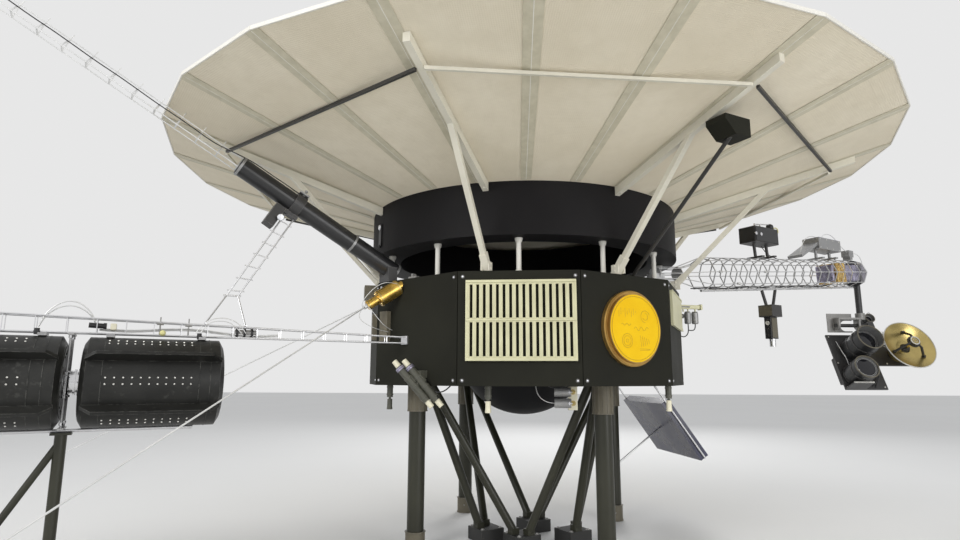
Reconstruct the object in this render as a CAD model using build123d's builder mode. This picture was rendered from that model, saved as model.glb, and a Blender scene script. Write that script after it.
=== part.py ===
from build123d import *
from math import cos, radians, sin, tan
import os

# Full-size display replica of a deep-space probe, standing on pipe legs.
# Millimetres, +Z up. The origin is on the upright axis of the body at floor
# level, the louvred side faces -Y and +X is on the right of it.
# Azimuths are degrees counter-clockwise from +X, seen from above.

os.makedirs("parts", exist_ok=True)

SEAT = 0.3  # clearance left where curved or slanted pieces meet

# Body: a ten-sided hollow box with side panels
BODY_CORNER_RADIUS = 843.0
BODY_SIDES = 10
BODY_BOTTOM_Z = 757.0
BODY_HEIGHT = 484.0
BODY_PLATE = 12.0
PANEL_THICKNESS = 8.0
PANEL_JOINT = 3.0
PANEL_JOINT_REACH = 64.0
CORNER_POST = 36.0
HALF_SIDE_ANGLE = 180.0 / BODY_SIDES
BODY_TOP_Z = BODY_BOTTOM_Z + BODY_HEIGHT
BODY_FLAT = BODY_CORNER_RADIUS * cos(radians(HALF_SIDE_ANGLE))
FRAME_FLAT = BODY_FLAT - PANEL_THICKNESS
LOUVRE_SIDE = -90.0
DISC_SIDE = -54.0
PLATE_SIDE = -18.0
BOOM_SIDE = -126.0
LEFT_SIDE = -162.0

# Drum above the body, on short pillars
DRUM_RADIUS = 818.0
DRUM_OPENING = 670.0
DRUM_WALL = 12.0
DRUM_HEIGHT = 238.0
PILLAR_HEIGHT = 154.0
PILLAR_RADIUS = 11.0
PILLAR_CIRCLE = 745.0
PILLAR_COUNT = 12
DRUM_BOTTOM_Z = BODY_TOP_Z + PILLAR_HEIGHT
DRUM_TOP_Z = DRUM_BOTTOM_Z + DRUM_HEIGHT

# Reflector dish of flat gores, with a flat seat on the drum
DISH_DIAMETER = 3660.0
DISH_SIDES = 24
DISH_RISE = 273.0
DISH_SHEET = 8.0
DISH_HUB_RADIUS = 230.0
DISH_HUB_DROP = 73.0
HALF_GORE = 180.0 / DISH_SIDES
DISH_RADIUS = DISH_DIAMETER / 2
DISH_SEAT_OUTER = (DRUM_RADIUS + 2.0) / cos(radians(HALF_GORE))
DISH_SEAT_INNER = DRUM_OPENING - 6.0
DISH_SLOPE = DISH_RISE / (DISH_RADIUS - DISH_SEAT_OUTER)
DISH_RIM_Z = DRUM_TOP_Z + DISH_RISE

# Radial ribs under the dish, the bars between them and the struts to the body
RIB_SHIFTS = (0.0, 0.0, 0.0, 0.0, 0.0, 0.0, 0.0, 38.0)  # each rib, beside its seam
RIB_COUNT = len(RIB_SHIFTS)
RIB_AZIMUTH = -57.5
RIB_WIDTH = 25.0
RIB_ROOT_DEPTH = 38.0
RIB_TIP_DEPTH = 33.0
RIB_REACH = 1670.0
CROSS_BAR_CIRCLE = 1560.0
CROSS_BAR_SIDE = 12.0
CROSS_BAR_DROP = 3.0
STRUT_FOOT_RADIUS = 786.0
STRUT_TOP_RADIUS = 1250.0
STRUT_SIDE = 23.0
SOCKET_SIDE = 31.0
SOCKET_LENGTH = 95.0

# Feed in the dish and the small reflector above it
FEED_BASE_RADIUS = 160.0
FEED_NECK_RADIUS = 66.0
FEED_MOUTH_RADIUS = 92.0
FEED_HEIGHT = 430.0
FEED_MOUTH_HEIGHT = 70.0
FEED_WALL = 10.0
SMALL_REFLECTOR_RADIUS = 270.0
SMALL_REFLECTOR_HEIGHT = 1140.0
SMALL_REFLECTOR_DEPTH = 78.0
SMALL_REFLECTOR_BULGE = (0.55, 0.72)
SMALL_REFLECTOR_EDGE = 12.0
SMALL_REFLECTOR_RING = 48.0
TOP_ANTENNA_RADIUS = 42.0
TOP_ANTENNA_HEIGHT = 90.0
TRIPOD_COUNT = 3
TRIPOD_AZIMUTH = RIB_AZIMUTH + HALF_GORE
TRIPOD_FOOT_RADIUS = 1090.0
TRIPOD_TUBE_RADIUS = 14.0
TRIPOD_OVERRUN = 40.0

# Legs, their collars, the blocks on the floor and the struts to them
LEG_CIRCLE = 624.0
LEG_AZIMUTH = -54.0
LEG_RADIUS = 40.0
LEG_BORE = 36.0
COLLAR_RADIUS = 46.0
TOP_COLLAR_HEIGHT = 125.0
FOOT_COLLAR_HEIGHT = 85.0
BLOCK_SIDE = 130.0
BLOCK_HEIGHT = 60.0
LEG_STRUT_RADIUS = 20.0
LEG_STRUT_TOP_REACH = 67.0
LEG_STRUT_SPREAD = 20.5
LEG_STRUT_LUG = 40.0
LEG_STRUT_FOOT_SHIFT = 41.0
LEG_STRUT_LUG_HEIGHT = 28.0

# Louvre panel and golden disc
LOUVRE_WIDTH = 465.0
LOUVRE_HEIGHT = 340.0
LOUVRE_THICKNESS = 14.0
LOUVRE_OFFSET = 8.0
LOUVRE_CENTRE_Z = 1030.0
LOUVRE_SLOTS = 16
LOUVRE_SLOT_PITCH = 27.8
LOUVRE_SLOT_WIDTH = 12.0
LOUVRE_SLOT_HEIGHT = 142.0
LOUVRE_MID_BAR = 18.0
DISC_CENTRE_Z = 1004.0
DISC_OFFSET = 10.0
DISC_BASE_RADIUS = 165.0
DISC_BASE_THICKNESS = 22.0
DISC_BASE_CHAMFER = 4.0
DISC_RADIUS = 146.0
DISC_THICKNESS = 14.0

# Tank bulge under the body
TANK_RADIUS = 360.0
TANK_DROP = 155.0
TANK_ARC_ANGLE = 27.0  # where the arc between bottom and mouth is held
TANK_FLANGE_WIDTH = 24.0
TANK_FLANGE_THICKNESS = 6.0

# Generator boom: a tapered lattice from the body's left side
GEN_BOOM_AZIMUTH = 213.7
GEN_BOOM_LENGTH = 2330.0
GEN_BOOM_BOTTOM_Z = 945.0
GEN_BOOM_ROOT_SIZE = 26.0
GEN_BOOM_SIZE = 60.0
GEN_BOOM_TAPER_LENGTH = 1500.0
GEN_BOOM_BAY = 92.0
GEN_BOOM_CHORD = 3.0
GEN_BOOM_SHIFT = -62.0
GEN_BOOM_PLATE = 8.0
GEN_BOOM_PLATE_EDGE = 6.0
GEN_COUNT = 3
GEN_FIRST = 772.0
GEN_PITCH = 510.0
GEN_LENGTH = 455.0
GEN_RADIUS = 160.0
GEN_END_RADIUS = 136.0
GEN_END_DEPTH = 14.0
GEN_AXIS_Z = 772.0
FIN_ANGLES = (30.0, 150.0, 210.0, 330.0)
FIN_HEIGHT = 44.0
FIN_THICKNESS = 12.0
FIN_LENGTH = 436.0
FIN_POINT = 34.0
FIN_END_HEIGHT = 8.0
FIN_SUNK = 20.0
COUPLING_RADIUS = 41.0
RAIL_RADIUS = 6.0
HANGER_WIDTH = 76.0
HANGER_LENGTH = 26.0
HANGER_INSET = 75.0
STAY_OFFSET = 52.0
STAY_SHIFT = 16.0
STAY_RADIUS = 4.0
STAY_PLATE = 6.0
STAY_PLATE_WIDTH = 18.0
STAY_PLATE_EDGE = 10.0
RAIL_INSETS = (84.0, 20.0)
STAND_RADIUS = 19.0
STAND_BRACE_RADIUS = 12.0
STAND_BRACE_REACH = 330.0
STAND_FOOT = 150.0
STAND_PLATE = 8.0
STAND_HEAD = (64.0, 44.0, STAND_PLATE)
STAND_BRACE_DROP = 30.0
STAND_BRACE_FOOT = 80.0

# Canister and lattice mast
MAST_AZIMUTH = 217.7
MAST_RISE = 28.2
MAST_ORIGIN = Vector(-575.0, -450.0, 1270.0)
CANISTER_START = 45.0
CANISTER_END = 900.0
CANISTER_RADIUS = 42.0
CANISTER_CHAMFER = 4.0
CLAMP_STATION = 605.0
CLAMP_WIDTH = 46.0
CLAMP_RADIUS = 52.0
SADDLE_SETBACK = 42.0
SADDLE_LENGTH = 46.0
SADDLE_EDGE = 10.0
CLAMP_PLATE_DEPTH = 20.0
CLAMP_PLATE_WIDTH = 36.0
CLAMP_PLATE_DROP = 4.0
MAST_LENGTH = 3400.0
MAST_RADIUS = 34.0
MAST_WIRE = 2.5
MAST_BAY = 94.0
MAST_FRAME_WIDTH = 4.5
MAST_SENSOR_STATION = 1750.0
MAST_SENSOR_LENGTH = 110.0
MAST_SENSOR_SIDE = 62.0
TIP_SENSOR_RADIUS = 46.0

# Ladder between the canister's clamp and the generator boom
LADDER_RAIL = 3.5
LADDER_WIDTH = 44.0
LADDER_RUNG = 2.5
LADDER_RUNGS = 7
LADDER_PIN = 12.0
LADDER_REST = 9.0
LADDER_FIRST_RUNG = 0.6
LADDER_FOOT = 34.0
LADDER_KNEE = Vector(-1172.0, -970.0, 1121.0)
LADDER_STATIONS = (690.0, 840.0)
LADDER_SENSOR_SIZE = (104.0, 46.0, 50.0)

# Whip antennas and their gold cans
WHIP_CAN_AZIMUTH = 205.0
WHIP_CAN_DROP = 33.0
WHIP_CAN_MIDDLE = Vector(-606.0, -604.0, 1176.0)
WHIP_CAN_STALK = 60.0
WHIP_CAN_RADIUS = 37.0
WHIP_CAN_LENGTH = 110.0
WHIP_NECK_RADIUS = 21.0
WHIP_NECK_LENGTH = 60.0
WHIP_RADIUS = 3.0
WHIP_LENGTH = 2290.0
WHIP_BALL = 10.0
WHIPS = ((246.0, 28.0, 11.0), (160.0, 20.0, -11.0))  # azimuth, drop, shift of its ball

# Science boom: a caged lattice with a drooping post at its end
CAGE_AZIMUTH = 36.8
CAGE_RISE = 5.2
CAGE_ORIGIN = Vector(990.0, 90.0, 1362.0)
CAGE_SIDES = 8
CAGE_RADIUS = 92.5
CAGE_WIRE = 2.5
CAGE_HOOP_WIDTH = 5.0
CAGE_BAY = 94.0
CAGE_BAYS = 17
CAGE_KEEL_RADIUS = 7.0
CAGE_TAPER_LENGTH = 200.0
CAGE_NECK_RADIUS = 38.0
CAGE_NECK_LENGTH = 370.0
CAGE_END_PLATE = 10.0
CAGE_ROOT_SIDE = 64.0
CAGE_ROOT_INSET = 6.0
CAGE_KEEL_START = 20.0
CAGE_HEAD_SIDE = 60.0
POST_ABOVE = 30.0
POST_RADIUS = 20.0
POST_OUT = 32.0
POST_BOTTOM_Z = 1235.0
SPIGOT_RADIUS = 12.0
SPIGOT_LENGTH = 30.0
RUNNING_FIT = 0.05

# Instruments on the science boom
FOIL_BOX_STATION = 1270.0
FOIL_BOX_LENGTH = 108.0
DETECTOR_STATION = 560.0
DETECTOR_SIZE = (225.0, 110.0, 95.0)
DETECTOR_Z = 1640.0
DETECTOR_LEG_RADIUS = 9.0
DETECTOR_LEGS = ((-45.0, -60.0), (75.0, 60.0))  # shift of the foot and of the head
INSTRUMENT_FOOT = (30.0, 100.0, 10.0)
INSTRUMENT_FOOT_LIFT = 6.0
TELESCOPE_STATION = 1245.0
TELESCOPE_SIZE = (255.0, 110.0, 74.0)
TELESCOPE_Z = 1662.0
TELESCOPE_LEG_SHIFT = 80.0
TELESCOPE_VISOR = (225.0, 96.0, 18.0)
VISOR_RISE = 28.0
VISOR_DROP = 4.0
VISOR_LAP = 8.0
SMALL_BOX_STATION = 1555.0
SMALL_BOX_SIZE = (58.0, 52.0, 44.0)
SMALL_BOX_FOOT = (30.0, 50.0)
SMALL_BOX_LIFT = 20.0
HANGING_STATION = 600.0
HANGING_BOX_SIZE = (96.0, 90.0, 70.0)
HANGING_BOX_Z = 1190.0
HANGING_PLATE_SIZE = (64.0, 40.0, 130.0)
HANGING_NOZZLE_LENGTH = 45.0
HANGING_NOZZLE_RADIUS = 17.0
HANGING_LEGS = ((-70.0, -20.0), (70.0, 20.0))  # shift of the top and of the foot
HANGING_LAP = 8.0

# Pointing platform: a yoke turning on the post, with a frame turning in it.
# Places on the frame are along the axle, up from it and ahead of it.
AXLE_Z = 1150.0
AXLE_RADIUS = 12.0
PLATFORM_AZIMUTH = -82.0
PLATFORM_RISE = 25.0
YOKE_HEAD_RADIUS = 30.0
YOKE_HEAD_GAP = 1.0
YOKE_HEAD_HEIGHT = 44.0
YOKE_PLATE = 12.0
YOKE_WIDTH = 70.0
YOKE_NEAR = -26.0
YOKE_FAR = -168.0
YOKE_EYE = 30.0
YOKE_WEB = 8.0
YOKE_WEB_BACK = 36.0
YOKE_WEB_SPAN = (-217.0, -43.0)
YOKE_WEB_BOTTOM = -45.0
YOKE_WEB_CUT = 36.0
YOKE_WEB_CUT_AT = -92.0
ARM_SPAN = (36.0, 76.0)
ARM_LEVELS = (-25.0, 18.0)
FACE_PLATE = 12.0
FACE_PLATE_BACK = 112.0
FACE_PLATE_SPAN = (-205.0, 84.0)
FACE_PLATE_LEVELS = (-424.0, -18.0)
DISH_PLATE_SPAN = (70.0, 320.0)
DISH_PLATE_LEVELS = (-250.0, -90.0)
SHELF_DEPTH = 100.0
SHELF_THICKNESS = 8.0
SHELF_END = -70.0
ARM_AHEAD = 25.0
AXLE_END = 6.0
AXLE_TAIL = 4.0
ELECTRONICS_SIZE = (200.0, 190.0, 118.0)
ELECTRONICS_AT = (-40.0, -240.0)
SMALL_DISH_AT = (248.0, -167.0)
SMALL_DISH_RADIUS = 168.0
SMALL_DISH_DEPTH = 62.0
SMALL_DISH_SHEET = 4.0
SMALL_DISH_RIM_AHEAD = 40.0
SMALL_DISH_HUB_RADIUS = 60.0
SMALL_DISH_MIRROR_RADIUS = 29.0
SMALL_DISH_MIRROR_AHEAD = 60.0
SMALL_DISH_MIRROR_DEPTH = 10.0
SMALL_DISH_STALK_RADIUS = 9.0
SMALL_DISH_HUB_LAP = 12.0

# Hanging panel under the body's right side
HANG_AZIMUTH = 12.0
HANG_TILT = 35.0
HANG_CENTRE = Vector(793.0, 467.0, 502.0)
HANG_WIDTH = 600.0
HANG_LENGTH = 370.0
HANG_THICKNESS = 50.0
HANG_RAIL_RADIUS = 5.0
HANG_STRUT_RADIUS = 5.0
HANG_STRUT_Z = 285.0
HANG_RAIL_OVERRUN = 20.0

# Wedge sensor on its pole, under the dish
WEDGE_CENTRE = Vector(788.0, -1157.0, 1699.0)
WEDGE_SIZE = (128.0, 92.0, 70.0)
WEDGE_AZIMUTH = -57.0
WEDGE_THIN = 22.0
WEDGE_RUN = 50.0
WEDGE_POLE_RADIUS = 8.0
WEDGE_POLE_AZIMUTH = -50.0
WEDGE_POLE_CIRCLE = 785.0
POLE_OVERRUN = 20.0

# Small parts on the body: the pair of tanks below it
PAIR_AT = Vector(226.0, -610.0, 0.0)
PAIR_PLATE = (42.0, 8.0, 104.0)
PAIR_DROPS = (26.0, 74.0)
PAIR_STANDOFF = 16.0
PAIR_TANK_RADIUS = 19.5
PAIR_TANK_LENGTH = 72.0
PAIR_STALK_RADIUS = 6.0
PAIR_LAP = 14.0

# The two slanted thrusters
TWIN_HIGH = Vector(-523.0, -722.0, 837.0)
TWIN_LOW = Vector(-397.0, -722.0, 692.0)
TWIN_SHIFT = Vector(42.0, 0.0, 4.0)
TWIN_RADIUS = 17.0
TWIN_NOZZLE = 32.0
TWIN_NOZZLE_RADIUS = 11.0
TWIN_LINK_RADIUS = 8.0
TWIN_BRACKET_LIFT = 40.0
TWIN_BRACKET_LENGTH = 80.0
TWIN_BRACKET_SIDE = 30.0

# The pale plate and the thruster group beside it
SIDE_PLATE_SHIFT = 12.0
SIDE_PLATE_Z = 1118.0
SIDE_PLATE_SIZE = (440.0, 165.0)
SIDE_PLATE_THICKNESS = 12.0
CORNER_SIDE = PLATE_SIDE + 2 * HALF_SIDE_ANGLE
CORNER_BASE_AT = (-180.0, 1150.0)
CORNER_BASE_SIZE = (70.0, 110.0)
CORNER_BASE_DEPTH = 26.0
CORNER_NOZZLE_RADIUS = 11.0
corner_nozzles = (  # along the side, height, length
    (-200.0, 1178.0, 66.0),
    (-186.0, 1130.0, 36.0),
    (-160.0, 1130.0, 52.0),
)


def polar(radius, azimuth, height=0.0):
    """The point at a radius, azimuth and height about the body's axis."""
    return Vector(radius * cos(radians(azimuth)), radius * sin(radians(azimuth)), height)


def heading(azimuth, rise=0.0):
    """The unit vector that points along an azimuth and rises by an angle."""
    flat = cos(radians(rise))
    return Vector(flat * cos(radians(azimuth)), flat * sin(radians(azimuth)), sin(radians(rise)))


def bar(start, end, radius):
    """Fuses a round bar between two points into the part being built."""
    reach = end - start
    with BuildSketch(Plane(origin=start, z_dir=reach)) as section:
        Circle(radius)
    extrude(section.sketch, amount=reach.length)


def square_bar(start, end, side, depth=None):
    """Fuses a square bar between two points, with its sides upright."""
    reach = end - start
    across = Vector(0, 0, 1).cross(reach)
    with BuildSketch(Plane(origin=start, x_dir=across, z_dir=reach)) as section:
        Rectangle(side, depth or side)
    extrude(section.sketch, amount=reach.length)


def block(centre, azimuth, size, rise=0.0):
    """Fuses a block with its first side along an azimuth and its last side up."""
    along = heading(azimuth, rise)
    up = heading(azimuth, rise + 90.0)
    with BuildSketch(Plane(origin=centre - up * (size[2] / 2), x_dir=along, z_dir=up)) as section:
        Rectangle(size[0], size[1])
    extrude(section.sketch, amount=size[2])


def side_plane(azimuth, offset, height, standoff=0.0):
    """A plane on a side of the body: x runs along the side, y runs up."""
    out = heading(azimuth)
    along = heading(azimuth + 90.0)
    origin = out * (BODY_FLAT + standoff) + along * offset + Vector(0, 0, height)
    return Plane(origin=origin, x_dir=along, z_dir=out)


def save(piece, name):
    """Labels a finished piece and writes it."""
    piece.part.label = name
    export_step(piece.part, f"parts/{name}.step")


# Body frame: two plates and the corner posts between them
frame_corner = FRAME_FLAT / cos(radians(HALF_SIDE_ANGLE))
with BuildPart() as body_frame:
    for plate_z in (BODY_BOTTOM_Z, BODY_TOP_Z - BODY_PLATE):
        with BuildSketch(Plane.XY.offset(plate_z)):
            RegularPolygon(frame_corner, BODY_SIDES)
        extrude(amount=BODY_PLATE)
    with BuildSketch(Plane.XY.offset(BODY_BOTTOM_Z)):
        with PolarLocations(frame_corner - CORNER_POST, BODY_SIDES):
            Circle(CORNER_POST / 2)
    extrude(amount=BODY_HEIGHT)
save(body_frame, "body_frame")

# Side panels: a ring of ten flat panels, parted at the corners
with BuildPart() as body_panels:
    with BuildSketch(Plane.XY.offset(BODY_BOTTOM_Z)):
        RegularPolygon(BODY_CORNER_RADIUS, BODY_SIDES)
        RegularPolygon(frame_corner, BODY_SIDES, mode=Mode.SUBTRACT)
    extrude(amount=BODY_HEIGHT)
    with BuildSketch(Plane.XY.offset(BODY_BOTTOM_Z)):
        with PolarLocations(BODY_CORNER_RADIUS, BODY_SIDES):
            Rectangle(PANEL_JOINT_REACH, PANEL_JOINT)
    extrude(amount=BODY_HEIGHT, mode=Mode.SUBTRACT)
save(body_panels, "body_side_panels")

# Louvre panel: two rows of slots with a bar between them
with BuildPart() as louvre:
    with BuildSketch(side_plane(LOUVRE_SIDE, LOUVRE_OFFSET, LOUVRE_CENTRE_Z)):
        Rectangle(LOUVRE_WIDTH, LOUVRE_HEIGHT)
        with GridLocations(LOUVRE_SLOT_PITCH, LOUVRE_SLOT_HEIGHT + LOUVRE_MID_BAR, LOUVRE_SLOTS, 2):
            Rectangle(LOUVRE_SLOT_WIDTH, LOUVRE_SLOT_HEIGHT, mode=Mode.SUBTRACT)
    extrude(amount=LOUVRE_THICKNESS)
save(louvre, "louvre_panel")

# Golden disc on its wider base
disc_axis = Axis(origin=(0, 0, 0), direction=heading(DISC_SIDE))
with BuildPart() as disc_base:
    with BuildSketch(side_plane(DISC_SIDE, DISC_OFFSET, DISC_CENTRE_Z)):
        Circle(DISC_BASE_RADIUS)
    extrude(amount=DISC_BASE_THICKNESS)
    chamfer(disc_base.faces().sort_by(disc_axis)[-1].edges(), DISC_BASE_CHAMFER)
save(disc_base, "golden_disc_base")

with BuildPart() as disc:
    with BuildSketch(side_plane(DISC_SIDE, DISC_OFFSET, DISC_CENTRE_Z, DISC_BASE_THICKNESS)):
        Circle(DISC_RADIUS)
    extrude(amount=DISC_THICKNESS)
save(disc, "golden_disc")

# Tank: the part of a sphere that bulges below the body, with a flange
tank_centre_z = BODY_BOTTOM_Z - TANK_DROP + TANK_RADIUS
tank_mouth = (TANK_RADIUS ** 2 - (tank_centre_z - BODY_BOTTOM_Z) ** 2) ** 0.5
with BuildPart() as tank:
    with BuildSketch(Plane.XZ):
        with BuildLine():
            bottom = (0.0, BODY_BOTTOM_Z - TANK_DROP)
            edge = (tank_mouth, BODY_BOTTOM_Z)
            half = TANK_RADIUS * sin(radians(TANK_ARC_ANGLE))
            low = tank_centre_z - TANK_RADIUS * cos(radians(TANK_ARC_ANGLE))
            ThreePointArc(bottom, (half, low), edge)
            Polyline(edge, (0.0, BODY_BOTTOM_Z), bottom)
        make_face()
    revolve(axis=Axis.Z)
    with BuildSketch(Plane.XY.offset(BODY_BOTTOM_Z)):
        Circle(tank_mouth + TANK_FLANGE_WIDTH)
    extrude(amount=-TANK_FLANGE_THICKNESS)
save(tank, "tank_dome")

# Pillars between the body and the drum
with BuildPart() as pillars:
    with BuildSketch(Plane.XY.offset(BODY_TOP_Z)):
        with PolarLocations(PILLAR_CIRCLE, PILLAR_COUNT):
            Circle(PILLAR_RADIUS)
    extrude(amount=PILLAR_HEIGHT)
save(pillars, "drum_pillars")

# Drum: two walls joined by a floor, open towards the dish
with BuildPart() as drum:
    with BuildSketch(Plane.XY.offset(DRUM_BOTTOM_Z)):
        Circle(DRUM_RADIUS)
        Circle(DRUM_OPENING, mode=Mode.SUBTRACT)
    extrude(amount=DRUM_HEIGHT)
    with BuildSketch(Plane.XY.offset(DRUM_BOTTOM_Z + DRUM_WALL)):
        Circle(DRUM_RADIUS - DRUM_WALL)
        Circle(DRUM_OPENING + DRUM_WALL, mode=Mode.SUBTRACT)
    extrude(amount=DRUM_HEIGHT, mode=Mode.SUBTRACT)
save(drum, "equipment_drum")

# Dish: each layer of polygons is lofted, and the same shape, raised, is cut out
dish_layers = (  # lower radius, lower height, upper radius, upper height
    (DISH_HUB_RADIUS, DRUM_TOP_Z - DISH_HUB_DROP, DISH_SEAT_INNER, DRUM_TOP_Z),
    (DISH_SEAT_OUTER, DRUM_TOP_Z, DISH_RADIUS, DISH_RIM_Z),
)
with BuildPart() as dish:
    for lift, mode in ((0.0, Mode.ADD), (DISH_SHEET, Mode.SUBTRACT)):
        for low_radius, low_z, high_radius, high_z in dish_layers:
            for radius, height in ((low_radius, low_z), (high_radius, high_z)):
                with BuildSketch(Plane.XY.offset(height + lift)):
                    RegularPolygon(radius, DISH_SIDES, rotation=RIB_AZIMUTH)
            loft(ruled=True, mode=mode)
        if mode == Mode.ADD:
            with BuildSketch(Plane.XY.offset(DRUM_TOP_Z)):
                RegularPolygon(DISH_SEAT_OUTER, DISH_SIDES, rotation=RIB_AZIMUTH)
            extrude(amount=DISH_SHEET)
            with BuildSketch(Plane.XY.offset(DISH_RIM_Z)):
                RegularPolygon(DISH_RADIUS, DISH_SIDES, rotation=RIB_AZIMUTH)
            extrude(amount=DISH_SHEET)
save(dish, "dish_shell")


def dish_under(radius):
    """Height of the dish's underside along a line of gore corners."""
    return DRUM_TOP_Z + (radius - DISH_SEAT_OUTER) * DISH_SLOPE


def rib_under(radius):
    """Height of a rib's lower edge."""
    share = (radius - DRUM_RADIUS) / (RIB_REACH - DRUM_RADIUS)
    depth = RIB_ROOT_DEPTH + (RIB_TIP_DEPTH - RIB_ROOT_DEPTH) * share
    return dish_under(radius) - SEAT - depth


# Ribs: one profile in the upright plane, repeated about the axis
with BuildPart() as rib:
    with BuildSketch(Plane.XZ.offset(-RIB_WIDTH / 2)):
        with BuildLine():
            Polyline(
                (DRUM_RADIUS + SEAT, rib_under(DRUM_RADIUS)),
                (DRUM_RADIUS + SEAT, DRUM_TOP_Z - SEAT),
                (DISH_SEAT_OUTER, DRUM_TOP_Z - SEAT),
                (RIB_REACH, dish_under(RIB_REACH) - SEAT),
                (RIB_REACH, rib_under(RIB_REACH)),
                close=True,
            )
        make_face()
    extrude(amount=RIB_WIDTH)
rib_step = 360.0 / RIB_COUNT
rib_places = [
    Rot(0, 0, RIB_AZIMUTH + rib_step * k) * Pos(0, shift, 0) for k, shift in enumerate(RIB_SHIFTS)
]
with BuildPart() as ribs:
    for place in rib_places:
        add(place * rib.part)
save(ribs, "dish_ribs")

# Cross bars between the ribs' sides, pale and dark in turn. Their height clears
# the dish halfway between two ribs, where it comes lowest over them.
half_step = radians(rib_step / 2)
bar_nearest = (CROSS_BAR_CIRCLE * cos(half_step) - CROSS_BAR_SIDE / 2) / cos(radians(HALF_GORE))
bar_z = dish_under(bar_nearest) - CROSS_BAR_DROP - CROSS_BAR_SIDE / 2
bar_end_gap = SEAT + CROSS_BAR_SIDE / 2 * tan(half_step + radians(2.0))


def rib_side(k, hand):
    """The point on a rib's side that a cross bar meets; hand 1 is counter-clockwise."""
    azimuth = RIB_AZIMUTH + rib_step * k
    offset = RIB_SHIFTS[k % RIB_COUNT] + hand * RIB_WIDTH / 2
    return polar(CROSS_BAR_CIRCLE, azimuth, bar_z) + heading(azimuth + 90.0) * offset


for finish, first in (("pale", 1), ("dark", 0)):
    with BuildPart() as cross_bars:
        for k in range(first, RIB_COUNT, 2):
            near = rib_side(k, 1)
            far = rib_side(k + 1, -1)
            inset = (far - near).normalized() * bar_end_gap
            square_bar(near + inset, far - inset, CROSS_BAR_SIDE)
    save(cross_bars, f"dish_cross_bars_{finish}")

# Diagonal struts: cut off flat on the body's top and along the ribs' lower edge
strut_foot = Vector(STRUT_FOOT_RADIUS, 0, BODY_TOP_Z)
strut_top = Vector(STRUT_TOP_RADIUS, 0, rib_under(STRUT_TOP_RADIUS))
strut_way = (strut_top - strut_foot).normalized()
under_slope = (rib_under(STRUT_TOP_RADIUS + 1.0) - rib_under(STRUT_TOP_RADIUS - 1.0)) / 2
with BuildPart() as strut:
    square_bar(strut_foot - strut_way * STRUT_SIDE, strut_top + strut_way * STRUT_SIDE, STRUT_SIDE)
    square_bar(strut_foot - strut_way * SOCKET_SIDE, strut_foot + strut_way * SOCKET_LENGTH, SOCKET_SIDE)
    split(bisect_by=Plane.XY.offset(BODY_TOP_Z), keep=Keep.TOP)
    rib_plane = Plane(origin=strut_top - Vector(0, 0, SEAT), z_dir=Vector(-under_slope, 0, 1))
    split(bisect_by=rib_plane, keep=Keep.BOTTOM)
with BuildPart() as struts:
    for place in rib_places:
        add(place * strut.part)
save(struts, "dish_struts")

# Feed: a cone in the middle of the dish, with a flared mouth
feed_z = DRUM_TOP_Z - DISH_HUB_DROP + DISH_SHEET
with BuildPart() as feed:
    with BuildSketch(Plane.XZ):
        with BuildLine():
            Polyline(
                (0, feed_z),
                (FEED_BASE_RADIUS, feed_z),
                (FEED_NECK_RADIUS, feed_z + FEED_HEIGHT - FEED_MOUTH_HEIGHT),
                (FEED_MOUTH_RADIUS, feed_z + FEED_HEIGHT),
                (FEED_MOUTH_RADIUS - FEED_WALL, feed_z + FEED_HEIGHT),
                (FEED_NECK_RADIUS - FEED_WALL, feed_z + FEED_HEIGHT - FEED_MOUTH_HEIGHT),
                (0, feed_z + FEED_HEIGHT - FEED_MOUTH_HEIGHT),
                close=True,
            )
        make_face()
    revolve(axis=Axis.Z)
save(feed, "feed_horn")

# Small reflector: a convex dish facing down, with the low antenna on top
reflector_z = feed_z + SMALL_REFLECTOR_HEIGHT
with BuildPart() as reflector:
    with BuildSketch(Plane.XZ):
        with BuildLine():
            low_point = (0.0, reflector_z - SMALL_REFLECTOR_DEPTH)
            rim_point = (SMALL_REFLECTOR_RADIUS - SMALL_REFLECTOR_RING, reflector_z)
            bulge_drop = SMALL_REFLECTOR_BULGE[1] * SMALL_REFLECTOR_DEPTH
            middle = (SMALL_REFLECTOR_BULGE[0] * rim_point[0], reflector_z - bulge_drop)
            ThreePointArc(low_point, middle, rim_point)
            Polyline(
                rim_point,
                (SMALL_REFLECTOR_RADIUS, reflector_z),
                (SMALL_REFLECTOR_RADIUS, reflector_z + SMALL_REFLECTOR_EDGE),
                (TOP_ANTENNA_RADIUS, reflector_z + SMALL_REFLECTOR_EDGE),
                (TOP_ANTENNA_RADIUS, reflector_z + SMALL_REFLECTOR_EDGE + TOP_ANTENNA_HEIGHT),
                (0, reflector_z + SMALL_REFLECTOR_EDGE + TOP_ANTENNA_HEIGHT),
                low_point,
            )
        make_face()
    revolve(axis=Axis.Z)
save(reflector, "small_reflector")

# Tripod: three tubes from the dish to the small reflector's rim
gore_share = cos(radians(HALF_GORE))
tripod_foot = Vector(TRIPOD_FOOT_RADIUS, 0, dish_under(TRIPOD_FOOT_RADIUS / gore_share) + DISH_SHEET)
tripod_top = Vector(SMALL_REFLECTOR_RADIUS - SMALL_REFLECTOR_RING / 2, 0, reflector_z)
tripod_way = (tripod_top - tripod_foot).normalized()
with BuildPart() as tripod_tube:
    overrun = tripod_way * TRIPOD_OVERRUN
    bar(tripod_foot - overrun, tripod_top + overrun, TRIPOD_TUBE_RADIUS)
    split(bisect_by=Plane.XY.offset(reflector_z - SEAT), keep=Keep.BOTTOM)
    gore_plane = Plane(
        origin=tripod_foot + Vector(0, 0, SEAT), z_dir=Vector(-DISH_SLOPE / gore_share, 0, 1)
    )
    split(bisect_by=gore_plane, keep=Keep.TOP)
with BuildPart() as tripod:
    with PolarLocations(0, TRIPOD_COUNT, start_angle=TRIPOD_AZIMUTH):
        add(tripod_tube.part)
save(tripod, "small_reflector_tripod")

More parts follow.
